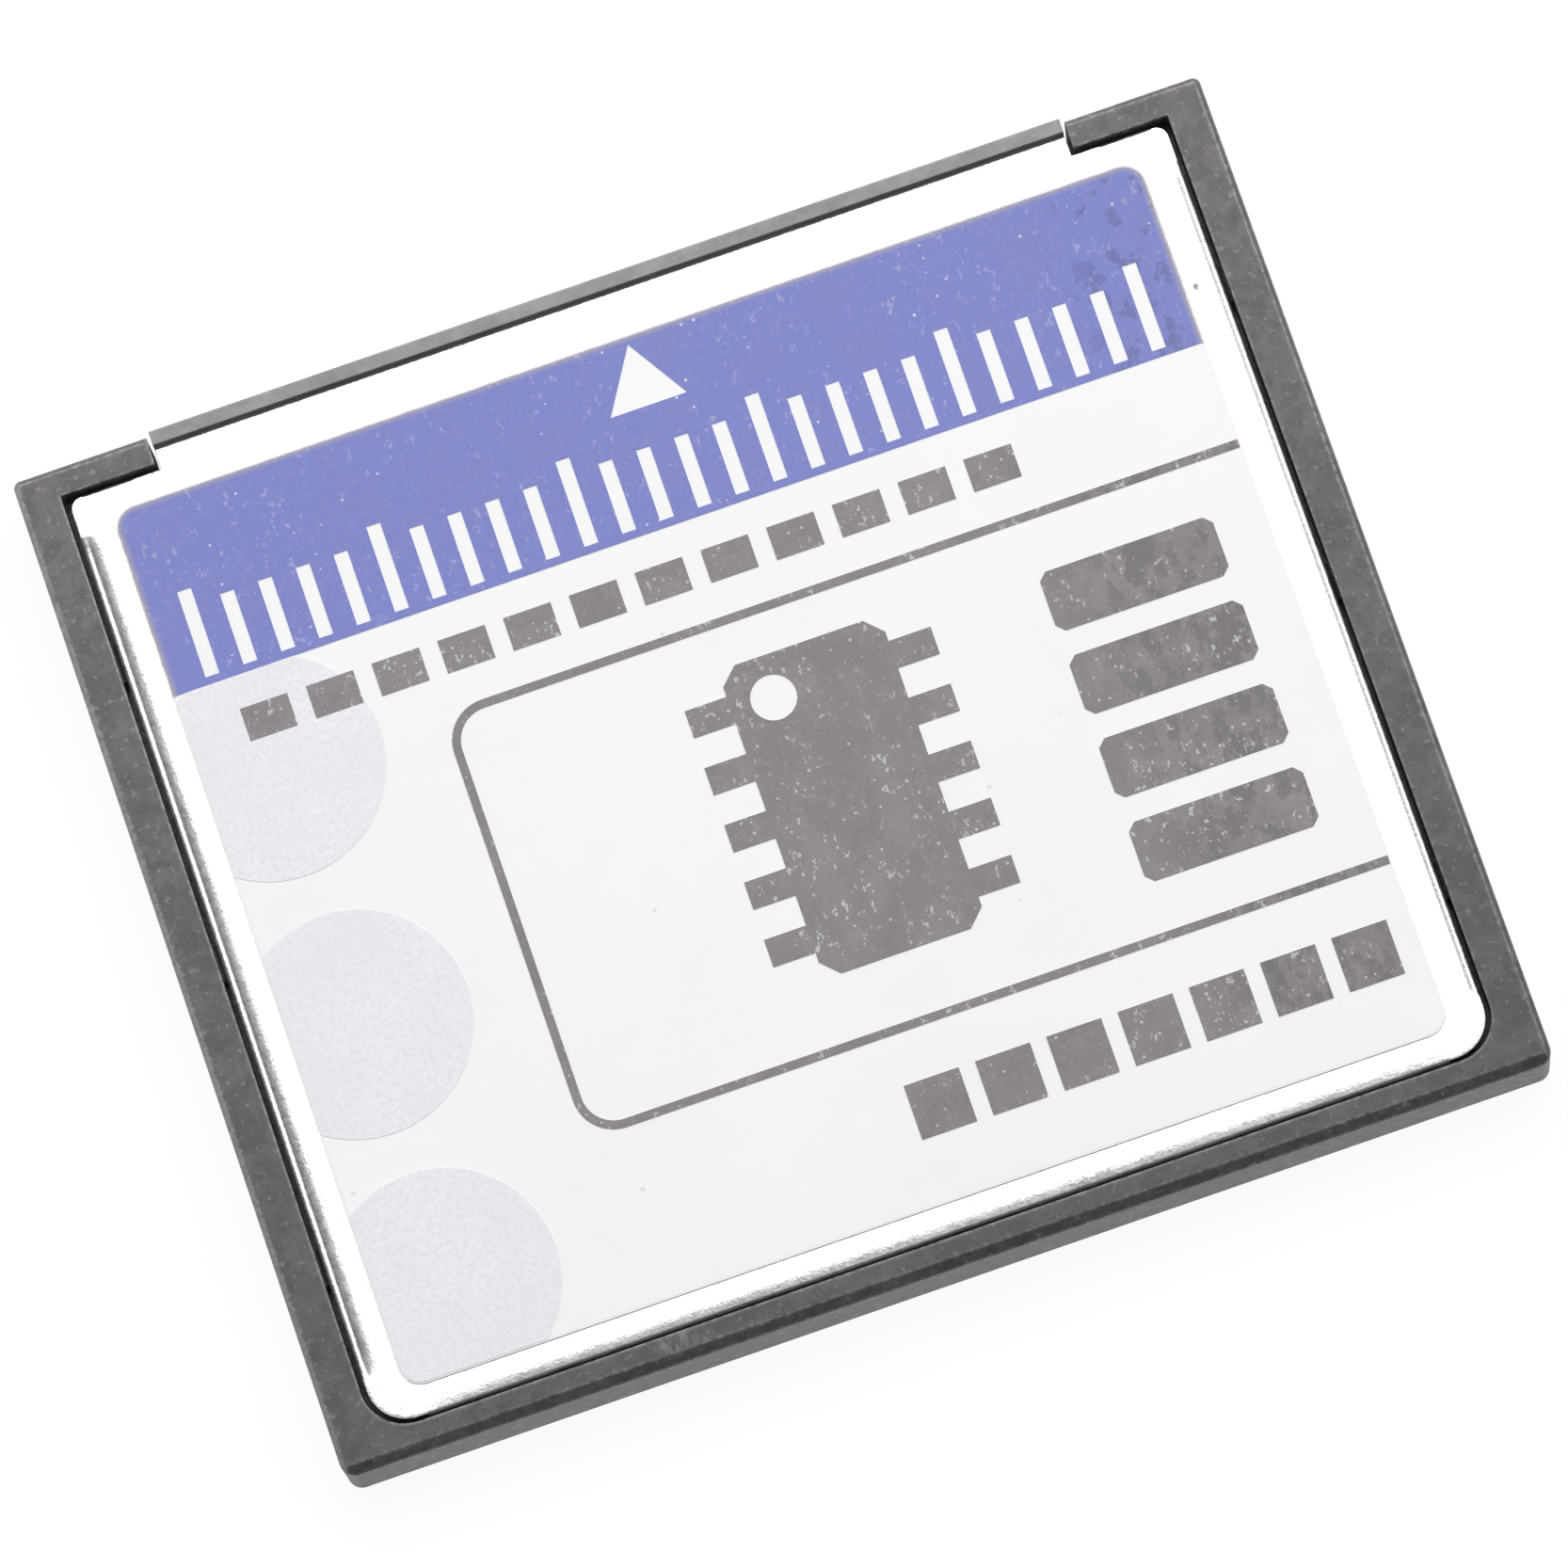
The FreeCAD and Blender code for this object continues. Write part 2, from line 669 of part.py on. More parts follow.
# Label: a rounded sheet with print lying on it
def make_label_sheet():
    body = new_body("label_sheet")
    plain_block(body, "sheet", "-label_half", "label_half", "label_back", "label_front",
                "upper_face", "label_top")
    corners = both_sides("label_half", "label_back") + both_sides("label_half", "label_front")
    dress(body, "Fillet", "corners", "label_corner_radius", upright(corners))
    return body


def ink_sketch(body, name):
    return new_sketch(body, name, "XY_Plane", "label_top")


def make_label_band():
    """Colour band with an insertion arrow and a row of scale ticks left open in it."""
    body = new_body("label_band")
    field = ink_sketch(body, "field")
    add_rectangle(field, "-print_half", "print_half", "band_back", "print_front")
    pad(body, field, "ink_thickness")
    dress(body, "Fillet", "corners", "print_radius", upright(both_sides("print_half", "print_front")))
    arrow = ink_sketch(body, "arrow")
    arrow_base = "print_front - arrow_margin - arrow_height"
    add_polygon(arrow, [("-arrow_width / 2", arrow_base), ("arrow_width / 2", arrow_base),
                        ("0", "print_front - arrow_margin")])
    pocket(body, arrow, "ink_thickness", forwards=True)

    tick_back = "band_back + tick_margin"
    group = ink_sketch(body, "short_ticks")
    for index in range(1, SIZES["ticks_per_group"]):
        middle = f"{index} * tick_pitch - tick_half"
        add_rectangle(group, f"{middle} - tick_width / 2", f"{middle} + tick_width / 2",
                      tick_back, f"{tick_back} + tick_height")
    short_ticks = pocket(body, group, "ink_thickness", forwards=True)
    group_pitch = "tick_pitch * ticks_per_group"
    line_up(body, [short_ticks], "X_Axis", f"{group_pitch} * (tick_groups - 1)", "tick_groups",
            "short_tick_row")
    tall = ink_sketch(body, "tall_tick")
    add_rectangle(tall, "-tick_half - tick_width / 2", "-tick_half + tick_width / 2",
                  tick_back, f"{tick_back} + tall_tick_height")
    tall_tick = pocket(body, tall, "ink_thickness", forwards=True)
    line_up(body, [tall_tick], "X_Axis", "tick_half * 2", "tick_groups + 1", "tall_tick_row")
    return body


def add_dash(drawing, shift):
    """Outline of the dash row's first dash, moved along the row."""
    left = f"dash_left + {shift}"
    add_rectangle(drawing, left, f"{left} + dash_length",
                  "dash_y - dash_width / 2", "dash_y + dash_width / 2")


def add_print_area(drawing):
    """Outline of the printable field below the band, round at its left back corner."""
    left = add_line(drawing, ("-print_half", "band_back"), ("-print_half", "print_back + print_radius"))
    back = add_line(drawing, ("print_radius - print_half", "print_back"), ("print_half", "print_back"))
    right = add_line(drawing, ("print_half", "print_back"), ("print_half", "band_back"), (back, 2))
    add_link(drawing, (right, 2), (left, 1))
    corner = ("print_radius - print_half", "print_back + print_radius")
    add_round(drawing, (left, 2), (back, 1), corner, "print_radius")


def make_label_discs():
    """Three pale discs cut off by the label's left edge and by the band, with dashes let into one."""
    body = new_body("label_discs")
    discs = ink_sketch(body, "discs")
    for index in range(SIZES["disc_count"]):
        add_circle(discs, "disc_inset - label_half", f"disc_front_y - {index} * disc_pitch", "disc_radius")
    pad(body, discs, "ink_thickness")
    surround = ink_sketch(body, "surround")
    add_rectangle(surround, "-half_width", "half_width", "card_back", "card_front")
    add_print_area(surround)
    pocket(body, surround, "ink_thickness", forwards=True)
    overprint = ink_sketch(body, "overprint")
    for index in range(SIZES["dash_count"]):
        add_dash(overprint, f"{index} * dash_pitch")
    pocket(body, overprint, "ink_thickness", forwards=True)
    return body


def make_label_line_frame():
    """Thin line round the lower field, open at the label's right edge."""
    body = new_body("label_line_frame")
    line = ink_sketch(body, "line")
    left = "line_frame_left"
    front = "line_frame_front"
    back = "line_frame_back"
    stroke = "line_frame_stroke"
    inner_back = (f"{left} + {stroke}", f"{back} + {stroke}")
    inner_front = (f"{left} + {stroke}", f"{front} - {stroke}")
    add_polygon(line, [
        (left, back), ("print_half", back), ("print_half", f"{back} + {stroke}"), inner_back, inner_front,
        ("print_half", f"{front} - {stroke}"), ("print_half", front), (left, front),
    ])
    pad(body, line, "ink_thickness")
    dress(body, "Fillet", "outer_corners", "line_frame_radius", upright([(left, back), (left, front)]))
    dress(body, "Fillet", "inner_corners", "line_frame_radius - line_frame_stroke",
          upright([inner_back, inner_front]))
    return body


def make_label_dashes():
    body = new_body("label_dashes")
    dash = ink_sketch(body, "dash")
    add_dash(dash, "0")
    first = pad(body, dash, "ink_thickness")
    line_up(body, [first], "X_Axis", "dash_pitch * (dash_count - 1)", "dash_count", "row")
    return body


def make_label_cells():
    body = new_body("label_cells")
    cell = ink_sketch(body, "cell")
    left = "label_half - cell_inset - cell_size - cell_pitch * (cell_count - 1)"
    back = "label_back + cell_margin"
    add_rectangle(cell, left, f"{left} + cell_size", back, f"{back} + cell_size")
    first = pad(body, cell, "ink_thickness")
    line_up(body, [first], "X_Axis", "cell_pitch * (cell_count - 1)", "cell_count", "row")
    return body


def make_label_chip_icon():
    """Plan view of a chip with legs, printed large; drawn about its own middle."""
    body = new_body("label_chip_icon")
    half_width = "icon_width / 2"
    half_height = "icon_height / 2"
    plain_block(body, "package", f"-{half_width}", half_width, f"-{half_height}", half_height,
                "0", "ink_thickness")
    corners = both_sides(half_width, half_height) + both_sides(half_width, f"-{half_height}")
    dress(body, "Chamfer", "corners", "icon_corner_cut", upright(corners))
    leg = new_sketch(body, "leg", "XY_Plane")
    add_rectangle(leg, f"-{half_width} - icon_leg_reach", f"{half_width} + icon_leg_reach",
                  "-icon_leg_half - icon_leg_width / 2", "-icon_leg_half + icon_leg_width / 2")
    first_leg = pad(body, leg, "ink_thickness")
    line_up(body, [first_leg], "Y_Axis", "icon_leg_half * 2", "icon_leg_count", "legs")
    dot = new_sketch(body, "dot", "XY_Plane")
    add_circle(dot, f"-{half_width} + icon_dot_inset", f"{half_height} - icon_dot_inset", "icon_dot_radius")
    pocket(body, dot, "ink_thickness", forwards=True)
    stand_at(body, "label_half - icon_inset", "(icon_back + icon_front) / 2", "label_top")
    return body


def make_label_stack():
    body = new_body("label_stack")
    plain_block(body, "bar", "-stack_width / 2", "stack_width / 2", "-stack_bar / 2", "stack_bar / 2",
                "0", "ink_thickness")
    first = body.Tip
    line_up(body, [first], "Y_Axis", "stack_pitch * (stack_count - 1)", "stack_count", "bars")
    dress(body, "Chamfer", "corners", "stack_corner_cut", lambda start, end: not same(start.z, end.z))
    stand_at(body, "label_half - stack_inset", "stack_back + stack_bar / 2", "label_top")
    return body


# Socket strip: moulded housing with two rows of through sockets
def make_socket_housing():
    body = new_body("socket_housing")
    plain_block(body, "core", "-housing_half", "housing_half", "housing_back", "lip_back",
                "housing_low", "housing_high")
    plain_block(body, "lip", "-housing_half", "housing_half", "lip_back", "card_front", "0", "card_height")
    plain_block(body, "ears", "-ear_half", "ear_half", "ear_front - ear_length", "ear_front",
                "board_underside", "rib_top")
    dress(body, "Chamfer", "lip_bevel", "lip_bevel", level_along("x", "card_height", ["card_front"], "y"))
    dress(body, "Chamfer", "foot_bevel", "lip_bevel", level_along("x", "0", ["card_front"], "y"))

    cuts = []
    for name, margin, length in (("socket", "0", "housing_length"), ("mouth", "lead_in", "lead_in")):
        face = new_sketch(body, name, "XZ_Plane", "-card_front")
        for height in ("upper_row", "lower_row"):
            add_rectangle(face, f"-row_half - socket_width / 2 - {margin}",
                          f"-row_half + socket_width / 2 + {margin}",
                          f"{height} - socket_height / 2 - {margin}",
                          f"{height} + socket_height / 2 + {margin}")
        cut = pocket(body, face, length, forwards=True)
        if name == "mouth":
            cut.setExpression("TaperAngle", bound("-lead_in_angle"))
        cuts.append(cut)
    line_up(body, cuts, "X_Axis", "row_half * 2", "contact_count", "socket_rows")
    return body


def make_contacts(label, wall, inward, board_face):
    """Row of contacts: a beam against the socket's outer wall and a tail bent onto the board."""
    body = new_body(label)
    beam = f"({wall} + {inward} * contact_thickness)"
    foot = f"({board_face} - {inward} * contact_thickness)"
    profile = new_sketch(body, "profile", "YZ_Plane", "-row_half - contact_width / 2")
    add_polygon(profile, [
        ("card_front - contact_set_in", beam),
        ("card_front - contact_set_in", wall),
        ("housing_back - tail_exit", wall),
        ("knee - tail_turn", foot),
        ("knee - tail_foot", foot),
        ("knee - tail_foot", board_face),
        ("knee", board_face),
        ("housing_back - tail_exit - tail_turn", beam),
    ])
    first = pad(body, profile, "contact_width")
    line_up(body, [first], "X_Axis", "row_half * 2", "contact_count", "row")
    return body


# Circuit board and what it carries
def make_circuit_board():
    body = new_body("circuit_board")
    plain_block(body, "blank", "-board_half", "board_half", "board_back", "board_front",
                "board_underside", "board_top")
    dress(body, "Chamfer", "corners", "board_corner_cut", upright(both_sides("board_half", "board_back")))
    return body


def make_package(label, width, length, across, along):
    """Moulded package with a bevelled top edge, drawn about its own middle."""
    body = new_body(label)
    top = "chip_standoff + chip_height"
    plain_block(body, "package", f"-{width} / 2", f"{width} / 2", f"-{length} / 2", f"{length} / 2",
                "chip_standoff", top)
    dress(body, "Chamfer", "top_bevel", "chip_bevel",
          lambda start, end: near(start.z, top) and near(end.z, top))
    stand_at(body, across, along, "board_top")
    return body


def make_marked_chip(label, width, length, across, along):
    """Package with an eight-sided dimple that marks its first lead."""
    body = make_package(label, width, length, across, along)
    corners = []
    for side in range(SIZES["chip_dimple_sides"]):
        turn = f"({side} + 0.5) * 360 deg / chip_dimple_sides"
        corners.append((f"-{width} / 2 + chip_dimple_inset + chip_dimple_radius * cos({turn})",
                        f"{length} / 2 - chip_dimple_inset + chip_dimple_radius * sin({turn})"))
    dimple = new_sketch(body, "dimple", "XY_Plane", "chip_standoff + chip_height")
    add_polygon(dimple, corners)
    pocket(body, dimple, "chip_dimple_depth")
    return body


def lead_row(body, name, plane, reach_from, span, count):
    """Gull-wing leads on two opposite sides of a package, reach_from one side to the other."""
    along_x = plane == "YZ_Plane"
    side = new_sketch(body, name, plane, f"-{span} / 2" if along_x else f"{span} / 2")
    for sign in ("", "-"):
        root = f"{sign}({reach_from} / 2)"
        knee = f"{sign}({reach_from} / 2 + lead_reach - lead_foot)"
        toe = f"{sign}({reach_from} / 2 + lead_reach)"
        add_polygon(side, [
            (root, "lead_root + lead_thickness"), (root, "lead_root"),
            (knee, "0"), (toe, "0"), (toe, "lead_thickness"),
        ])
    first = pad(body, side, "lead_width", both_ways=True)
    line_up(body, [first], "X_Axis" if along_x else "Y_Axis", span, count, f"{name}_row")


def make_flash_leads(label, across, along):
    body = new_body(label)
    lead_row(body, "leads", "XZ_Plane", "flash_width", "flash_lead_span", "flash_leads_per_end")
    stand_at(body, across, along, "board_top")
    return body


def make_controller_leads():
    body = new_body("controller_leads")
    lead_row(body, "side_leads", "XZ_Plane", "controller_side", "controller_lead_span",
             "controller_leads_per_side")
    lead_row(body, "end_leads", "YZ_Plane", "controller_side", "controller_lead_span",
             "controller_leads_per_side")
    stand_at(body, "controller_x", "controller_y", "board_top")
    return body


def make_regulator_leads():
    body = new_body("regulator_leads")
    lead_row(body, "leads", "YZ_Plane", "regulator_length", "regulator_lead_span", "regulator_lead_count")
    stand_at(body, "regulator_x", "regulator_y", "board_top")
    return body


def make_clock_crystal():
    body = new_body("clock_crystal")
    half_width = "crystal_width / 2"
    half_length = "crystal_length / 2"
    plain_block(body, "case", f"-{half_width}", half_width, f"-{half_length}", half_length,
                "0", "crystal_height")
    plain_block(body, "lid", f"-{half_width} + crystal_lid_inset", f"{half_width} - crystal_lid_inset",
                f"-{half_length} + crystal_lid_inset", f"{half_length} - crystal_lid_inset",
                "crystal_height", "crystal_height + crystal_lid_height")
    stand_at(body, "crystal_x", "crystal_y", "board_top")
    return body


def make_passives(label, kind, across, along, up, downwards):
    """Row of two-ended parts with terminals a little prouder than their bodies."""
    body = new_body(label)
    half_width = f"{kind}_width / 2"
    half_length = f"{kind}_length / 2"
    low, high = (f"-{kind}_height", "0") if downwards else ("0", f"{kind}_height")
    inner_low = f"{low} + terminal_step" if downwards else low
    inner_high = high if downwards else f"{high} - terminal_step"
    core_half = f"({half_length} - terminal_length)"
    core = plain_block(body, "core", f"-({half_width} - terminal_step)", f"{half_width} - terminal_step",
                       f"-{core_half}", core_half, inner_low, inner_high)
    ends = new_sketch(body, "terminals", "XY_Plane", low)
    add_rectangle(ends, f"-{half_width}", half_width, f"-{half_length}", f"-{core_half}")
    add_rectangle(ends, f"-{half_width}", half_width, core_half, half_length)
    terminals = pad(body, ends, f"{kind}_height")
    line_up(body, [core, terminals], "X_Axis", f"{kind}_pitch * ({kind}_count - 1)", f"{kind}_count", "row")
    stand_at(body, across, along, up)
    return body


def make_film(label, low):
    body = new_body(label)
    plain_block(body, "film", "-(cover_half - film_margin)", "cover_half - film_margin",
                "cover_back + film_margin", "cover_front - film_front_margin",
                low, f"{low} + film_thickness")
    return body


upper_wall = "(upper_row + socket_height / 2)"
lower_wall = "(lower_row - socket_height / 2)"
sub_parts = [
    make_card_frame(),
    make_cover("upper_cover", "upper_face", "-1", "upper_face - upper_flange_depth",
               "upper_boss_ledge", "upper_boss_ledge + upper_boss_height"),
    make_cover("lower_cover", "lower_face", "1", "lower_face + lower_flange_depth",
               "lower_boss_ledge - lower_boss_height", "lower_boss_ledge"),
    make_label_sheet(),
    make_label_band(),
    make_label_discs(),
    make_label_line_frame(),
    make_label_dashes(),
    make_label_cells(),
    make_label_chip_icon(),
    make_label_stack(),
    make_socket_housing(),
    make_contacts("upper_contacts", upper_wall, "-1", "board_top"),
    make_contacts("lower_contacts", lower_wall, "1", "board_underside"),
    make_circuit_board(),
    make_marked_chip("front_flash_chip", "flash_width", "flash_length", "flash_x", "front_flash_y"),
    make_flash_leads("front_flash_leads", "flash_x", "front_flash_y"),
    make_marked_chip("rear_flash_chip", "flash_width", "flash_length", "flash_x", "rear_flash_y"),
    make_flash_leads("rear_flash_leads", "flash_x", "rear_flash_y"),
    make_marked_chip("controller_chip", "controller_side", "controller_side",
                     "controller_x", "controller_y"),
    make_controller_leads(),
    make_clock_crystal(),
    make_package("regulator_chip", "regulator_width", "regulator_length", "regulator_x", "regulator_y"),
    make_regulator_leads(),
    make_passives("ceramic_capacitors", "capacitor", "capacitor_x", "capacitor_y", "board_top", False),
    make_passives("chip_resistors", "resistor", "resistor_x", "resistor_y", "board_top", False),
    make_passives("resistor_arrays", "array", "array_x", "array_y", "board_underside", True),
    make_film("upper_film", "upper_inside - film_thickness"),
    make_film("lower_film", "lower_inside"),
]
doc.recompute()


def check_document():
    """Stop if a feature failed, a cut removed nothing or a sub-part has no sound solid."""
    for item in doc.Objects:
        if "Invalid" in item.State or "Error" in item.State:
            raise RuntimeError(f"{item.Name} failed: {item.State}")
        if item.TypeId == "PartDesign::Pocket":
            if item.Shape.Volume > item.BaseFeature.Shape.Volume - 1e-6:
                raise RuntimeError(f"{item.Name} cuts nothing")
    for body in sub_parts:
        if body.Shape.isNull() or not body.Shape.isValid() or not body.Shape.Solids:
            raise RuntimeError(f"{body.Label} has no valid solid")


check_document()
os.makedirs("parts", exist_ok=True)
for body in sub_parts:
    body.Shape.exportStep(f"parts/{body.Label}.step")
    print(f"{body.Label}: {len(body.Shape.Solids)} solids, {body.Shape.Volume:.3f} mm3")
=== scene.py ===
import math

import bmesh
import bpy
import numpy as np
from mathutils import Matrix, Vector


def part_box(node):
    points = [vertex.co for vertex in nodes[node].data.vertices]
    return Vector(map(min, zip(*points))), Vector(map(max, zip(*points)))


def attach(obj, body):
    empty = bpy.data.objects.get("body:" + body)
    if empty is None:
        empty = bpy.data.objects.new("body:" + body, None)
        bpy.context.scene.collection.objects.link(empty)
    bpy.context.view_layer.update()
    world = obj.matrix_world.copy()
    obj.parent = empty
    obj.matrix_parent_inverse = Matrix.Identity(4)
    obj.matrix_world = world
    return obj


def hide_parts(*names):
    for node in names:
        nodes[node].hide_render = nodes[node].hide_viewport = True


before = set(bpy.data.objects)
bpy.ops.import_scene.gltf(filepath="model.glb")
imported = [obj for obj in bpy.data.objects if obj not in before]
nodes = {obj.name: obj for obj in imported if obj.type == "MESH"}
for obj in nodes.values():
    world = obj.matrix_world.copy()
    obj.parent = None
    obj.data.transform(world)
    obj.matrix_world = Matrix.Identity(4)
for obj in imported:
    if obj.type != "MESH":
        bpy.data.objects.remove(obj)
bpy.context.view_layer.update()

# Metres throughout, apart from coverShape and coverSides. X runs across the card, +Y points at its socket
# edge, +Z at its label
mm = 0.001
scene = bpy.context.scene
print("frame loaded:", len(nodes), "nodes")

# In the looks, a noise is its scale per metre, detail, roughness and stretch, and a cut is the span of the
# noise over which a tone comes in. Nearly all of a noise's values lie in noiseSpan
noiseSpan = (0.3, 0.7)


# A socket is linked to the input, anything else is set on it
def setInput(tree, socket, given):
    if isinstance(given, bpy.types.NodeSocket):
        tree.links.new(given, socket)
    else:
        socket.default_value = given


def addNode(tree, kind, inputs=None, **settings):
    made = tree.nodes.new(kind)
    for name, setting in settings.items():
        setattr(made, name, setting)
    for key, given in (inputs or {}).items():
        setInput(tree, made.inputs[key], given)
    return made


# A material with one principled surface, and the piece's own coordinates for its patterns
def newMaterial(name):
    material = bpy.data.materials.new(name)
    material.use_nodes = True
    tree = material.node_tree
    tree.nodes.clear()
    surface = addNode(tree, "ShaderNodeBsdfPrincipled")
    addNode(tree, "ShaderNodeOutputMaterial", {"Surface": surface.outputs["BSDF"]})
    place = addNode(tree, "ShaderNodeTexCoord").outputs["Object"]
    return material, tree, surface, place


def rgba(colour):
    return (*colour, 1.0)


def shadeOf(colour, share):
    return rgba(tuple(min(1.0, share * part) for part in colour))


# A stretch below 1 on an axis draws the noise out along that axis
def noiseOf(tree, place, scale, detail, roughness, stretch=(1, 1, 1)):
    mapped = addNode(tree, "ShaderNodeMapping", {"Vector": place, "Scale": stretch}).outputs["Vector"]
    return addNode(tree, "ShaderNodeTexNoise", {"Vector": mapped, "Scale": scale, "Detail": detail,
                                                "Roughness": roughness}).outputs["Fac"]


def rampOf(tree, factor, low, high, lowValue=0.0, highValue=1.0):
    return addNode(tree, "ShaderNodeMapRange", {"Value": factor, "From Min": low, "From Max": high,
                                                "To Min": lowValue, "To Max": highValue}).outputs["Result"]


def roughnessOf(tree, grain, levels):
    return rampOf(tree, grain, *noiseSpan, *levels)


def mathOf(tree, operation, first, second=0.0):
    return addNode(tree, "ShaderNodeMath", {0: first, 1: second}, operation=operation).outputs[0]


def productOf(tree, first, *others):
    for other in others:
        first = mathOf(tree, "MULTIPLY", first, other)
    return first


def partsOf(tree, vector):
    return addNode(tree, "ShaderNodeSeparateXYZ", {"Vector": vector}).outputs


# Inputs 6 and 7 and output 2 of the Mix node are its colours
def mixColour(tree, factor, first, second):
    return addNode(tree, "ShaderNodeMix", {0: factor, 6: first, 7: second}, data_type="RGBA").outputs[2]


# Round dots, one at most in each cell of a plane pattern. A share of the cells has one, and the largest has
# the radius, in cell widths
def dotsOf(tree, place, perMetre, share, radius):
    inputs = {"Vector": place, "Scale": perMetre}
    cells = addNode(tree, "ShaderNodeTexVoronoi", inputs, voronoi_dimensions="2D").outputs
    chance = addNode(tree, "ShaderNodeSeparateColor", {"Color": cells["Color"]}).outputs
    chosen = mathOf(tree, "LESS_THAN", chance["Red"], share)
    inside = mathOf(tree, "SUBTRACT", productOf(tree, chance["Green"], radius), cells["Distance"])
    softEdge = radius * 0.25
    return productOf(tree, rampOf(tree, inside, 0.0, softEdge), chosen)


def bumpOf(tree, surface, height, strength, distance, under=None):
    bump = addNode(tree, "ShaderNodeBump", {"Height": height, "Strength": strength, "Distance": distance})
    if under:
        tree.links.new(under, bump.inputs["Normal"])
    tree.links.new(bump.outputs["Normal"], surface.inputs["Normal"])


bevelSamples = 6


# Softened normal near edges, and how near an edge is: one less the softened normal's part along the true one
def edgeOf(tree, radius, low, high):
    soft = addNode(tree, "ShaderNodeBevel", {"Radius": radius}, samples=bevelSamples).outputs["Normal"]
    true = addNode(tree, "ShaderNodeNewGeometry").outputs["Normal"]
    along = addNode(tree, "ShaderNodeVectorMath", {0: soft, 1: true}, operation="DOT_PRODUCT")
    return soft, rampOf(tree, mathOf(tree, "SUBTRACT", 1.0, along.outputs["Value"]), low, high)


def setSurface(surface, **inputs):
    for name, given in inputs.items():
        setInput(surface.id_data, surface.inputs[name.replace("_", " ")], given)


frameLook = {
    "colour": (0.092, 0.085, 0.096), "worn": (0.098, 0.089, 0.099), "pale": (0.36, 0.34, 0.34),
    "roughness": (0.36, 0.53), "grain": (4200, 3.0, 0.65), "grainDepth": 0.3, "grainHeight": 0.02 * mm,
    "mottle": 0.9, "cloud": (480, 4.0, 0.7), "cloudCut": (0.4, 0.6), "cloudTones": (-0.2, 0.15),
    "patch": (1700, 4.0, 0.7), "darkCut": (0.38, 0.5), "darkShare": 0.6, "darkTone": 0.62,
    "wornCut": (0.5, 0.64), "wornShare": 0.7, "wornTone": 1.35, "specks": 0.5, "speckCut": (0.58, 0.72),
    "edge": 0.16 * mm, "edgeCut": (0.002, 0.05), "edgeWear": (0.15, 1.0), "edgeTone": 1.1,
    "rubCut": (0.35, 0.6), "leftWearAndHighlight": 0.7, "leftFacing": (-0.5, -0.15), "leftRise": (3.05 * mm, 3.15 * mm),
    "leftRub": (0.4, 1.0), "smear": 0.45, "smearAt": -9.4 * mm, "smearReach": (0.3 * mm, 0.8 * mm),
    "smearEnd": (-17.1 * mm, -16.9 * mm), "smearRise": (3.1 * mm, 3.25 * mm),
    "streak": (3600, 2.0, 0.6, (1, 0.25, 1)), "streakCut": (0.45, 0.6),
    "paintedSheen": (0.82, 1.25), "paintedSheenSpan": (-18 * mm, 18 * mm),
}
housingLook = dict(frameLook, colour=(0.3, 0.296, 0.3), worn=(0.28, 0.275, 0.28), pale=(0.5, 0.5, 0.5),
                   roughness=(0.43, 0.6), grain=(3500, 3.0, 0.65), grainDepth=0.15, mottle=0.45, specks=0.2,
                   edge=0.03 * mm, edgeWear=(0.15, 0.25), leftWearAndHighlight=0.0, smear=0.0, smearAt=0.0,
                   paintedSheen=(1.0, 1.0))


# Mottled colour of a moulding: clouds of two tones, and over them darker and worn patches
def mottleOf(tree, place, look):
    mottle = look["mottle"]
    cloud = noiseOf(tree, place, *look["cloud"])
    patch = noiseOf(tree, place, *look["patch"])
    dark, light = (shadeOf(look["colour"], 1 + tone * mottle) for tone in look["cloudTones"])
    base = mixColour(tree, rampOf(tree, cloud, *look["cloudCut"]), dark, light)
    darkPatch = rampOf(tree, patch, *look["darkCut"], look["darkShare"] * mottle, 0.0)
    base = mixColour(tree, darkPatch, base, shadeOf(look["colour"], look["darkTone"]))
    wornPatch = rampOf(tree, patch, *look["wornCut"], 0.0, look["wornShare"] * mottle)
    return mixColour(tree, wornPatch, base, shadeOf(look["worn"], look["wornTone"]))


# Pale wear and a painted highlight along the left edge: where the face turns to the left, near the top,
# stronger in patches
def leftWearAndHighlightOf(tree, place, fine, look):
    facing = addNode(tree, "ShaderNodeNewGeometry").outputs["True Normal"]
    leftward = rampOf(tree, partsOf(tree, facing)["X"], *look["leftFacing"], look["leftWearAndHighlight"], 0.0)
    risen = rampOf(tree, partsOf(tree, place)["Z"], *look["leftRise"])
    return productOf(tree, leftward, risen, rampOf(tree, fine, *look["rubCut"], *look["leftRub"]))


# Smear across the back bar's top: a strip beside one X, in streaks along the card
def smearOf(tree, place, look):
    parts = partsOf(tree, place)
    away = mathOf(tree, "ABSOLUTE", mathOf(tree, "SUBTRACT", parts["X"], look["smearAt"]))
    strip = rampOf(tree, away, *look["smearReach"], look["smear"], 0.0)
    streaks = rampOf(tree, noiseOf(tree, place, *look["streak"]), *look["streakCut"])
    onBar = rampOf(tree, parts["Y"], *look["smearEnd"], 1.0, 0.0)
    return productOf(tree, strip, streaks, onBar, rampOf(tree, parts["Z"], *look["smearRise"]))
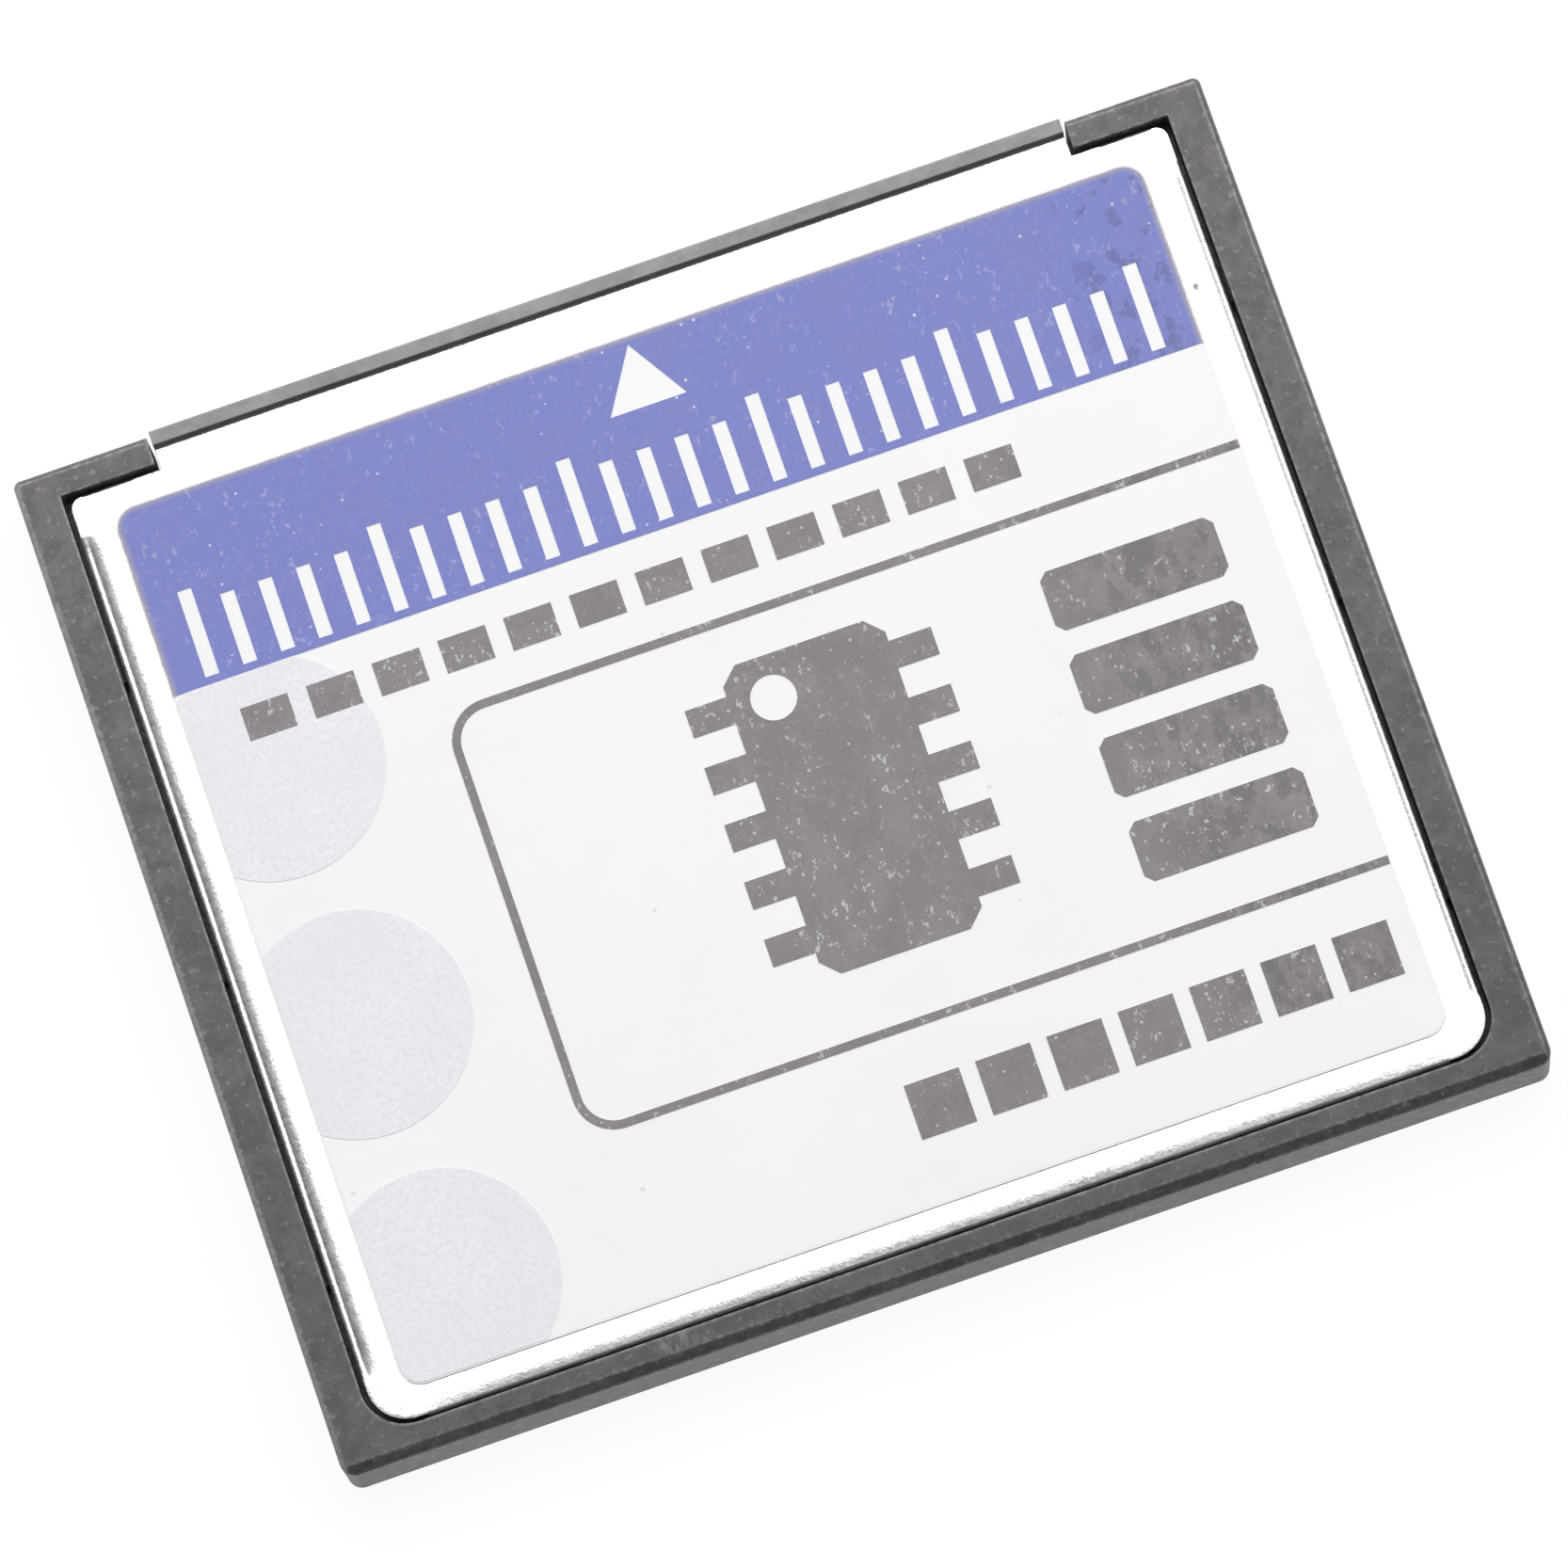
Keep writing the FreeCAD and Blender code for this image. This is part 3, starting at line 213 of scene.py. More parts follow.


# Moulded plastic: mottled colour, pale specks, a fine eroded grain, edges rubbed pale in patches, the upper
# left edge most, with a painted highlight there, a streaked smear across the back bar, and a painted sheen
# that darkens the tone at the back and grows paler towards the socket
def mouldedPlastic(name, look):
    material, tree, surface, place = newMaterial(name)
    fine = noiseOf(tree, place, *look["grain"])
    specks = productOf(tree, rampOf(tree, fine, *look["speckCut"]), look["specks"])
    base = mixColour(tree, specks, mottleOf(tree, place, look), rgba(look["pale"]))
    softened, nearEdge = edgeOf(tree, look["edge"], *look["edgeCut"])
    rubbed = productOf(tree, nearEdge, rampOf(tree, fine, *look["rubCut"], *look["edgeWear"]))
    base = mixColour(tree, rubbed, base, shadeOf(look["pale"], look["edgeTone"]))
    # Pale wear and painted highlight on the upper left edge
    base = mixColour(tree, leftWearAndHighlightOf(tree, place, fine, look), base, rgba(look["pale"]))
    base = mixColour(tree, smearOf(tree, place, look), base, rgba(look["pale"]))
    # Painted sheen: the colour runs from darker at the back bar to paler towards the socket
    paintedSheen = rampOf(tree, partsOf(tree, place)["Y"], *look["paintedSheenSpan"], *look["paintedSheen"])
    sheened = addNode(tree, "ShaderNodeVectorMath", {0: base, "Scale": paintedSheen}, operation="SCALE")
    setSurface(surface, Base_Color=sheened.outputs["Vector"],
               Roughness=roughnessOf(tree, fine, look["roughness"]))
    bumpOf(tree, surface, fine, look["grainDepth"], look["grainHeight"], softened)
    return material


steelLook = {
    "colour": (0.93, 0.93, 0.935), "roughness": (0.26, 0.44), "grain": (3800, 3.0, 0.7),
    "brush": (5200, 2.0, 0.6, (0.06, 1.0, 1.0)), "markCut": (0.38, 0.5), "markTone": 0.8, "markRelief": 0.15,
    "tooth": (9500, 2.0, 0.6), "toothDepth": 0.42, "toothHeight": 0.03 * mm,
    "flecks": 0.3, "fleckCut": (0.58, 0.68), "fleckPatch": (420, 3.0, 0.6), "fleckPatchCut": (0.45, 0.62),
    "smudgeAt": (18.9 * mm, 11.1 * mm, 3.05 * mm), "smudgeReach": (0.2 * mm, 0.34 * mm),
    "smudgeRagged": 0.3 * mm, "lineAt": 19.58 * mm, "lineReach": (0.02 * mm, 0.09 * mm),
    "lineEnd": (14.9 * mm, 15.2 * mm), "lineAbove": 2.9 * mm, "lineShade": 0.78, "dirtAndShadeTone": 0.16,
}


# Small smudge: the distance from its middle, made ragged by the grain
def smudgeOf(tree, place, grain, look):
    inputs = {0: place, 1: look["smudgeAt"]}
    away = addNode(tree, "ShaderNodeVectorMath", inputs, operation="DISTANCE").outputs["Value"]
    ragged = mathOf(tree, "ADD", away, productOf(tree, grain, look["smudgeRagged"]))
    return rampOf(tree, ragged, *look["smudgeReach"], 1.0, 0.0)


# Painted shade in the line pressed beside the upper cover's right edge: a strip beside one X, between its two
# ends
def lineShadeOf(tree, place, look):
    parts = partsOf(tree, place)
    away = mathOf(tree, "ABSOLUTE", mathOf(tree, "SUBTRACT", parts["X"], look["lineAt"]))
    strip = rampOf(tree, away, *look["lineReach"], look["lineShade"], 0.0)
    between = rampOf(tree, mathOf(tree, "ABSOLUTE", parts["Y"]), *look["lineEnd"], 1.0, 0.0)
    return productOf(tree, strip, between, mathOf(tree, "GREATER_THAN", parts["Z"], look["lineAbove"]))


# Rolled steel: bright metal with short brush marks across the card, a fine tooth and sparse dull flecks, and
# on the label's side a small smudge and painted shade along the pressed line
def rolledSteel(name, look):
    material, tree, surface, place = newMaterial(name)
    grain = noiseOf(tree, place, *look["grain"])
    tooth = noiseOf(tree, place, *look["tooth"])
    marks = productOf(tree, mathOf(tree, "ADD", noiseOf(tree, place, *look["brush"]), grain), 0.5)
    marked = rampOf(tree, marks, *look["markCut"])
    base = mixColour(tree, marked, shadeOf(look["colour"], look["markTone"]), rgba(look["colour"]))
    fleckPatch = rampOf(tree, noiseOf(tree, place, *look["fleckPatch"]), *look["fleckPatchCut"])
    flecks = productOf(tree, rampOf(tree, tooth, *look["fleckCut"], 0.0, look["flecks"]), fleckPatch)
    dirtAndShade = mathOf(tree, "MAXIMUM", flecks, smudgeOf(tree, place, grain, look))
    # Painted shade along the pressed line, in the same dark tone as the flecks and the smudge
    dirtAndShade = mathOf(tree, "MAXIMUM", dirtAndShade, lineShadeOf(tree, place, look))
    base = mixColour(tree, dirtAndShade, base, shadeOf(look["colour"], look["dirtAndShadeTone"]))
    setSurface(surface, Base_Color=base, Metallic=1.0, Roughness=roughnessOf(tree, grain, look["roughness"]))
    relief = mathOf(tree, "ADD", productOf(tree, marks, look["markRelief"]), tooth)
    bumpOf(tree, surface, relief, look["toothDepth"], look["toothHeight"])
    return material


bandLook = {
    "colour": (0.168, 0.2, 0.562), "roughness": (0.36, 0.5), "mottle": 0.06, "cloud": (520, 4.0, 0.7),
    "cloudCut": (0.32, 0.68), "grain": (5200, 2.0, 0.6), "grainDepth": 0.06, "grainHeight": 0.01 * mm,
    "haze": (0.62, 0.62, 0.66), "hazeCut": (0.5, 0.8), "hazeShare": 0.1,
    "smudges": 0.45, "smudgeFrom": (13.8 * mm, 16.2 * mm), "smudge": (1500, 4.0, 0.7, (1, 0.6, 1)),
    "smudgeCut": (0.56, 0.6), "smudgeTone": 0.4, "glints": 0.3, "glint": (4600, 2.0, 0.7, (1, 0.6, 1)),
    "glintCut": (0.62, 0.67), "glintPatch": (520, 3.0, 0.6), "glintPatchCut": (0.4, 0.52),
    "pinholes": (2100, 0.08, 0.13), "bright": 0.7, "paperAndGlint": (0.8, 0.8, 0.82),
    "outline": (18.46 * mm, 15.89 * mm, 0.73 * mm, 0.2 * mm), "outlineShare": 0.8,
    "outlineColour": (0.4, 0.36, 0.41),
}
greyLook = dict(bandLook, colour=(0.216, 0.198, 0.206), roughness=(0.34, 0.48), mottle=0.17, smudges=0.5,
                smudgeFrom=(10.5 * mm, 13.5 * mm), smudgeCut=(0.47, 0.57), glints=0.95,
                pinholes=(2100, 0.5, 0.13), bright=0.5, outline=None)


# Strip inside a rounded outline about the origin: the distance out of the rectangle between the corner
# centres, less the radius, is 0 on the outline and -width at the strip's inner side
def outlineOf(tree, place, share, halfWidth, halfLength, radius, width):
    cornerCentre = (halfWidth - radius, halfLength - radius, 1.0)
    beyond = addNode(tree, "ShaderNodeVectorMath", {0: place}, operation="ABSOLUTE").outputs["Vector"]
    beyond = addNode(tree, "ShaderNodeVectorMath", {0: beyond, 1: cornerCentre}, operation="SUBTRACT")
    outside = addNode(tree, "ShaderNodeVectorMath", {0: beyond.outputs["Vector"], 1: (0.0, 0.0, 0.0)},
                      operation="MAXIMUM")
    away = addNode(tree, "ShaderNodeVectorMath", {0: outside.outputs["Vector"]}, operation="LENGTH")
    return rampOf(tree, away.outputs["Value"], radius - width, radius, 0.0, share)


# Pale specks in the ink: bare paper through single pinholes, and painted glints, painted highlights in
# patches
def pinholesAndGlintsOf(tree, place, look):
    patches = noiseOf(tree, place, *look["glintPatch"])
    glints = rampOf(tree, noiseOf(tree, place, *look["glint"]), *look["glintCut"])
    glints = productOf(tree, glints, rampOf(tree, patches, *look["glintPatchCut"], 0.0, look["glints"]))
    return mathOf(tree, "MAXIMUM", dotsOf(tree, place, *look["pinholes"]), glints)


# Printing on the label: cloudy colour with a pale haze, darker smudges to the right, bare pinholes and
# painted glints, and a greyed outline where the look has one
def printedInk(name, look):
    material, tree, surface, place = newMaterial(name)
    cloud = noiseOf(tree, place, *look["cloud"])
    fine = noiseOf(tree, place, *look["grain"])
    dark, light = (shadeOf(look["colour"], 1 + tone) for tone in (-look["mottle"], look["mottle"]))
    base = mixColour(tree, rampOf(tree, cloud, *look["cloudCut"]), dark, light)
    haze = rampOf(tree, fine, *look["hazeCut"], 0.0, look["hazeShare"])
    base = mixColour(tree, haze, base, rgba(look["haze"]))
    rightward = rampOf(tree, partsOf(tree, place)["X"], *look["smudgeFrom"], 0.0, look["smudges"])
    smudges = rampOf(tree, noiseOf(tree, place, *look["smudge"]), *look["smudgeCut"])
    base = mixColour(tree, productOf(tree, rightward, smudges), base,
                     shadeOf(look["colour"], look["smudgeTone"]))
    if look["outline"]:
        outline = outlineOf(tree, place, look["outlineShare"], *look["outline"])
        base = mixColour(tree, outline, base, rgba(look["outlineColour"]))
    # Pinholes show bare paper; the glints are painted highlights in the same pale colour
    bareAndGlints = productOf(tree, pinholesAndGlintsOf(tree, place, look), look["bright"])
    base = mixColour(tree, bareAndGlints, base, rgba(look["paperAndGlint"]))
    setSurface(surface, Base_Color=base, Roughness=roughnessOf(tree, cloud, look["roughness"]))
    bumpOf(tree, surface, fine, look["grainDepth"], look["grainHeight"])
    return material


labelLook = {
    "colour": (0.935, 0.93, 0.942), "roughness": (0.33, 0.45), "coat": 0.15, "coatRoughness": 0.25,
    "cloud": (160, 3.0, 0.55), "cloudCut": (0.35, 0.7), "cloudTone": 0.975,
    "grain": (2500, 3.0, 0.6), "grainDepth": 0.02, "grainHeight": 0.02 * mm,
    "dots": (330, 0.3, 0.03), "dotShare": 0.35, "dotColour": (0.5, 0.5, 0.52),
    "rimShade": (0.9, 0.885, 0.885), "rimShare": (0.45, 0.9), "bandRim": (0.45, 0.42, 0.44),
    "bandFrom": (9.05 * mm, 9.15 * mm),
}


# Label film: satin white with a faint orange peel, a few small grey dots and painted shade along its rim,
# which is darker beside the band
def labelFilm(name, look):
    material, tree, surface, place = newMaterial(name)
    cloud = noiseOf(tree, place, *look["cloud"])
    fine = noiseOf(tree, place, *look["grain"])
    base = mixColour(tree, rampOf(tree, cloud, *look["cloudCut"]), rgba(look["colour"]),
                     shadeOf(look["colour"], look["cloudTone"]))
    dots = productOf(tree, dotsOf(tree, place, *look["dots"]), look["dotShare"])
    base = mixColour(tree, dots, base, rgba(look["dotColour"]))
    # Painted shade along the label's rim, darker beside the band
    rimShade = addNode(tree, "ShaderNodeAttribute", attribute_name="rimShade").outputs["Fac"]
    rimShadeTone = productOf(tree, rimShade, rampOf(tree, fine, *noiseSpan, *look["rimShare"]))
    besideBand = rampOf(tree, partsOf(tree, place)["Y"], *look["bandFrom"])
    rimShadeColour = mixColour(tree, besideBand, rgba(look["rimShade"]), rgba(look["bandRim"]))
    base = mixColour(tree, rimShadeTone, base, rimShadeColour)
    setSurface(surface, Base_Color=base, Roughness=roughnessOf(tree, fine, look["roughness"]),
               Coat_Weight=look["coat"], Coat_Roughness=look["coatRoughness"])
    bumpOf(tree, surface, fine, look["grainDepth"], look["grainHeight"])
    return material


discLook = {
    "colour": (0.875, 0.85, 0.905), "roughness": (0.35, 0.47), "cloud": (350, 4.0, 0.65),
    "cloudCut": (0.35, 0.65), "cloudTones": (1.02, 0.97), "grain": (6000, 3.0, 0.6),
    "grainCut": (0.42, 0.62), "grainTone": 0.93, "grainDepth": 0.03, "grainHeight": 0.01 * mm,
}


# Tinted discs: pale ink in a thin, slightly uneven coat
def tintedInk(name, look):
    material, tree, surface, place = newMaterial(name)
    cloud = noiseOf(tree, place, *look["cloud"])
    fine = noiseOf(tree, place, *look["grain"])
    thin, thick = (shadeOf(look["colour"], tone) for tone in look["cloudTones"])
    base = mixColour(tree, rampOf(tree, cloud, *look["cloudCut"]), thin, thick)
    grained = rampOf(tree, fine, *look["grainCut"])
    base = mixColour(tree, grained, base, shadeOf(look["colour"], look["grainTone"]))
    setSurface(surface, Base_Color=base, Roughness=roughnessOf(tree, fine, look["roughness"]))
    bumpOf(tree, surface, fine, look["grainDepth"], look["grainHeight"])
    return material


plainGrainLook = {"grain": (6000, 3.0, 0.6), "grainCut": (0.35, 0.7), "grainTone": 0.86, "grainDepth": 0.05,
                  "grainHeight": 0.01 * mm}
plainLooks = {
    "goldPlate": {"colour": (0.83, 0.6, 0.25), "roughness": (0.2, 0.33), "metallic": 1.0},
    "tinPlate": {"colour": (0.74, 0.74, 0.73), "roughness": (0.3, 0.43), "metallic": 1.0},
    "chipMoulding": {"colour": (0.025, 0.025, 0.028), "roughness": (0.5, 0.63), "metallic": 0.0},
    "crystalCan": {"colour": (0.72, 0.71, 0.69), "roughness": (0.25, 0.38), "metallic": 1.0},
    "capacitorBody": {"colour": (0.3, 0.19, 0.11), "roughness": (0.4, 0.53), "metallic": 0.0},
    "resistorBody": {"colour": (0.04, 0.04, 0.045), "roughness": (0.35, 0.48), "metallic": 0.0},
    "amberFilm": {"colour": (0.5, 0.27, 0.05), "roughness": (0.25, 0.38), "metallic": 0.0},
}


# Plated or tinned metal, and simple plastics, in one colour with a darker grain
def plainGrain(name, look):
    material, tree, surface, place = newMaterial(name)
    fine = noiseOf(tree, place, *plainGrainLook["grain"])
    dark = shadeOf(look["colour"], plainGrainLook["grainTone"])
    base = mixColour(tree, rampOf(tree, fine, *plainGrainLook["grainCut"]), dark, rgba(look["colour"]))
    setSurface(surface, Base_Color=base, Metallic=look["metallic"],
               Roughness=roughnessOf(tree, fine, look["roughness"]))
    bumpOf(tree, surface, fine, plainGrainLook["grainDepth"], plainGrainLook["grainHeight"])
    return material


boardLook = {
    "mask": (0.012, 0.085, 0.035), "track": (0.03, 0.16, 0.06), "trackScale": 420.0, "trackBend": 3.0,
    "trackDetail": 1.0, "trackCut": (0.6, 0.7), "trackDepth": 0.1, "trackHeight": 0.02 * mm,
    "grain": (3000, 3.0, 0.6), "roughness": (0.25, 0.4),
}


# Green solder mask with paler copper tracks under it
def solderMask(name, look):
    material, tree, surface, place = newMaterial(name)
    inputs = {"Vector": place, "Scale": look["trackScale"], "Distortion": look["trackBend"],
              "Detail": look["trackDetail"]}
    tracks = addNode(tree, "ShaderNodeTexWave", inputs, bands_direction="DIAGONAL").outputs["Fac"]
    fine = noiseOf(tree, place, *look["grain"])
    base = mixColour(tree, rampOf(tree, tracks, *look["trackCut"]), rgba(look["mask"]), rgba(look["track"]))
    setSurface(surface, Base_Color=base, Roughness=roughnessOf(tree, fine, look["roughness"]))
    bumpOf(tree, surface, tracks, look["trackDepth"], look["trackHeight"])
    return material


frameMaterial = mouldedPlastic("frameMoulding", frameLook)
steelMaterial = rolledSteel("coverSteel", steelLook)
bandMaterial = printedInk("bandInk", bandLook)
greyMaterial = printedInk("greyInk", greyLook)
discMaterial = tintedInk("discInk", discLook)
labelMaterial = labelFilm("labelFilm", labelLook)
housingMaterial = mouldedPlastic("housingMoulding", housingLook)
boardMaterial = solderMask("boardMask", boardLook)
plain = {name: plainGrain(name, look) for name, look in plainLooks.items()}
print("materials made:", len(bpy.data.materials))

nodeMaterials = {
    "card_frame": frameMaterial, "upper_cover": steelMaterial, "lower_cover": steelMaterial,
    "label_band": bandMaterial, "label_discs": discMaterial, "label_line_frame": greyMaterial,
    "label_dashes": greyMaterial, "label_cells": greyMaterial, "label_chip_icon": greyMaterial,
    "label_stack": greyMaterial, "label_sheet": labelMaterial, "socket_housing": housingMaterial,
    "upper_contacts": plain["goldPlate"], "lower_contacts": plain["goldPlate"],
    "circuit_board": boardMaterial, "front_flash_chip": plain["chipMoulding"],
    "rear_flash_chip": plain["chipMoulding"], "controller_chip": plain["chipMoulding"],
    "regulator_chip": plain["chipMoulding"], "front_flash_leads": plain["tinPlate"],
    "rear_flash_leads": plain["tinPlate"], "controller_leads": plain["tinPlate"],
    "regulator_leads": plain["tinPlate"], "clock_crystal": plain["crystalCan"],
    "ceramic_capacitors": plain["capacitorBody"], "chip_resistors": plain["resistorBody"],
    "resistor_arrays": plain["resistorBody"], "upper_film": plain["amberFilm"],
    "lower_film": plain["amberFilm"],
}
for nodeName, material in nodeMaterials.items():
    mesh = nodes[nodeName].data
    mesh.materials.clear()
    mesh.materials.append(material)
print("CAD nodes dressed:", len(nodeMaterials))

sharpAngle = math.radians(35)


# Mesh from whole arrays, smooth but for its sharp edges. Its faces are turned outward, unless outward says
# that they are so already
def newPiece(name, vertices, faceSets, material, replaced, outward=False):
    mesh = bpy.data.meshes.new(name)
    faces = [face for faceSet in faceSets for face in faceSet.tolist()]
    mesh.from_pydata(vertices.reshape(-1, 3).tolist(), [], faces)
    mesh.polygons.foreach_set("use_smooth", np.full(len(mesh.polygons), True))
    mesh.materials.append(material)
    mesh.validate()
    if not outward:
        solid = bmesh.new()
        solid.from_mesh(mesh)
        bmesh.ops.recalc_face_normals(solid, faces=solid.faces)
        solid.to_mesh(mesh)
        solid.free()
    mesh.set_sharp_from_angle(angle=sharpAngle)
    mesh.update()
    piece = bpy.data.objects.new(name, mesh)
    scene.collection.objects.link(piece)
    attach(piece, "root")
    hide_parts(*replaced)
    return piece


# Quads between neighbouring rows of a closed ring grid, for corner numbers laid out as rows by columns
def ringQuads(corners):
    following = np.roll(corners, -1, axis=1)
    return np.stack([corners[:-1], following[:-1], following[1:], corners[1:]], axis=-1).reshape(-1, 4)


# Triangles between a ring and the number of its centre point
def fanTo(ring, pole):
    return np.stack([ring, np.roll(ring, -1), np.full(ring.size, pole)], axis=-1)


def smoothStep(share):
    clipped = np.clip(share, 0, 1)
    return clipped * clipped * (3 - 2 * clipped)


labelShape = {"shoulder": 0.012 * mm, "shoulderRows": 4, "around": 320, "cornerRadius": 0.8 * mm,
              "rimWidth": 0.1 * mm, "rimFade": 0.03 * mm, "innerRing": 0.4 * mm}


# Rounded rectangle: at each turning angle the point lies at the corner centre,
# sign(cos, sin) * (half size - radius), plus radius * (cos, sin)
def roundedOutline(halfWidth, halfLength, radius, count):
    angle = np.linspace(0, 2 * np.pi, count, endpoint=False) + np.pi / count
    across = np.sign(np.cos(angle)) * (halfWidth - radius) + radius * np.cos(angle)
    along = np.sign(np.sin(angle)) * (halfLength - radius) + radius * np.sin(angle)
    return np.stack([across, along], axis=-1)


# Label: the outline drawn in by a quarter-round shoulder, height = side + shoulder * sin(t) and
# inset = shoulder * (1 - cos(t)), then flat to the middle above and straight across below. The rim
# attribute, which carries the painted shade along the rim, is 1 from the foot to the end of the rim
def makeLabel():
    shape = labelShape
    low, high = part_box("label_sheet")
    centre = np.array([(low.x + high.x) / 2, (low.y + high.y) / 2])
    halfWidth, halfLength, thickness = (high.x - low.x) / 2, (high.y - low.y) / 2, high.z - low.z
    shoulder, rimWidth, count = shape["shoulder"], shape["rimWidth"], shape["around"]
    turn = np.linspace(0, np.pi / 2, shape["shoulderRows"] + 1)[1:]
    insets = np.concatenate([[0.0, 0.0], shoulder * (1 - np.cos(turn)),
                             [rimWidth, rimWidth + shape["rimFade"], shape["innerRing"]]])
    side = thickness - shoulder
    heights = np.concatenate([[0.0, side], side + shoulder * np.sin(turn), [thickness] * 3]) + low.z
    rows = np.stack([roundedOutline(halfWidth - inset, halfLength - inset, shape["cornerRadius"] - inset,
                                    count) for inset in insets])
    ring = np.concatenate([rows + centre, np.repeat(heights[:, None, None], count, axis=1)], axis=-1)
    poles = np.array([[*centre, low.z], [*centre, high.z]])
    vertices = np.concatenate([ring.reshape(-1, 3), poles])
    numbers = np.arange(len(insets) * count).reshape(len(insets), count)
    faceSets = [ringQuads(numbers), fanTo(numbers[-1], numbers.size + 1), fanTo(numbers[0], numbers.size)]
    piece = newPiece("labelSkin", vertices, faceSets, labelMaterial, ["label_sheet"])
    rimShade = piece.data.attributes.new("rimShade", "FLOAT", "POINT")
    onRim = np.repeat(insets <= rimWidth, count)
    rimShade.data.foreach_set("value", np.concatenate([onRim, [0, 0]]).astype(np.float32))


# Sizes of the covers in millimetres and degrees. The gap is the hair's breadth between a flange's last column
# and the next one, and the rings are distances from the skin's edge
coverShape = {
    "half": 19.78, "back": -17.02, "front": 16.87, "backRadius": 1.4, "frontRadius": 0.45,
    "backFlange": 18.08, "sideFlange": (-15.22, 15.47), "frontFlange": (17.45, 19.3), "standOut": 0.05,
    "tongueHalf": 16.4, "tongueReach": 0.71, "tongueNotch": 0.06, "gap": 0.01,
    "windows": (-11.0, 0.0, 11.0), "windowHalf": 0.85, "endColumns": (0.0, 0.3, 0.8),
    "sideColumns": (-13.4, -7.6, -5.5, -3.2, 3.2, 5.5, 7.6, 13.5), "columnCounts": (12, 13, 8, 4, 10),
    "sheet": 0.15, "bend": 0.16, "bendTurn": (15, 90, 6), "innerBend": 0.04, "endRound": 0.03, "burr": 0.03,
    "cutInside": (-0.01, -0.05), "flat": 0.3, "line": (-0.295, -0.175, 5), "lineDepth": 0.013,
    "rings": (0.36, 0.43, 0.5, 0.57, 0.64, 0.71, 0.78, 0.9, 1.4, 3.5), "innerRings": (0, 5, 9),
    "sagFade": 0.3, "leftSag": (0.13, 0.66, 0.2), "backSag": (0.035, 0.42, 0.11),
}
coverSides = {
    "upper": {"node": "upper_cover", "turn": -1, "window": (0.35, 0.82), "depth": 1.03, "sag": 1.0},
    "lower": {"node": "lower_cover", "turn": 1, "window": (0.26, 0.58), "depth": 0.7, "sag": 0.0},
}


# Outline of a cover's right half from its back middle to its front middle, one row for each column of the
# skin: foot point, outward direction, reach beyond the foot, and whether a flange hangs there.
# A corner's columns lie at centre + radius * (cos, sin) and face along (cos, sin)
def coverHalf():
    shape = coverShape
    half, back, front, out, gap = (shape[key] for key in ("half", "back", "front", "standOut", "gap"))
    sideLow, sideHigh = shape["sideFlange"]
    frontLow, frontHigh = shape["frontFlange"]
    backCount, backCornerCount, frontCornerCount, frontCount, tongueCount = shape["columnCounts"]

    def straight(across, along, direction, reach, hangs):
        across, along = np.broadcast_arrays(np.asarray(across, float), np.asarray(along, float))
        rest = np.tile([*direction, reach, hangs], (across.size, 1))
        return np.concatenate([across.reshape(-1, 1), along.reshape(-1, 1), rest], axis=1)

    def corner(radius, along, start, count):
        angle = np.radians(np.linspace(start, start + 90, count))
        facing = np.stack([np.cos(angle), np.sin(angle)], axis=-1)
        place = np.array([half - radius, along]) + radius * facing
        return np.concatenate([place, facing, np.zeros((count, 2))], axis=1)

    ends, windows = np.array(shape["endColumns"]), np.array(shape["windows"])
    levels = np.sort(np.concatenate([sideLow + ends, sideHigh - ends, windows - shape["windowHalf"],
                                     windows + shape["windowHalf"], shape["sideColumns"]]))
    return np.concatenate([
        straight(np.linspace(0, shape["backFlange"], backCount), back, (0, -1), out, 1),
        straight(shape["backFlange"] + gap, back, (0, -1), 0, 0),
        corner(shape["backRadius"], back + shape["backRadius"], -90, backCornerCount),
        straight(half, sideLow - gap, (1, 0), 0, 0),
        straight(half, levels, (1, 0), out, 1),
        straight(half, sideHigh + gap, (1, 0), 0, 0),
        corner(shape["frontRadius"], front - shape["frontRadius"], 0, frontCornerCount),
        straight(frontHigh + gap, front, (0, 1), 0, 0),
        straight(np.linspace(frontHigh, frontLow, frontCount), front, (0, 1), out, 1),
        straight([frontLow - shape["tongueNotch"], shape["tongueHalf"] + gap], front, (0, 1), 0, 0),
        straight(np.linspace(shape["tongueHalf"], 0, tongueCount), front, (0, 1), shape["tongueReach"], 0),
    ])


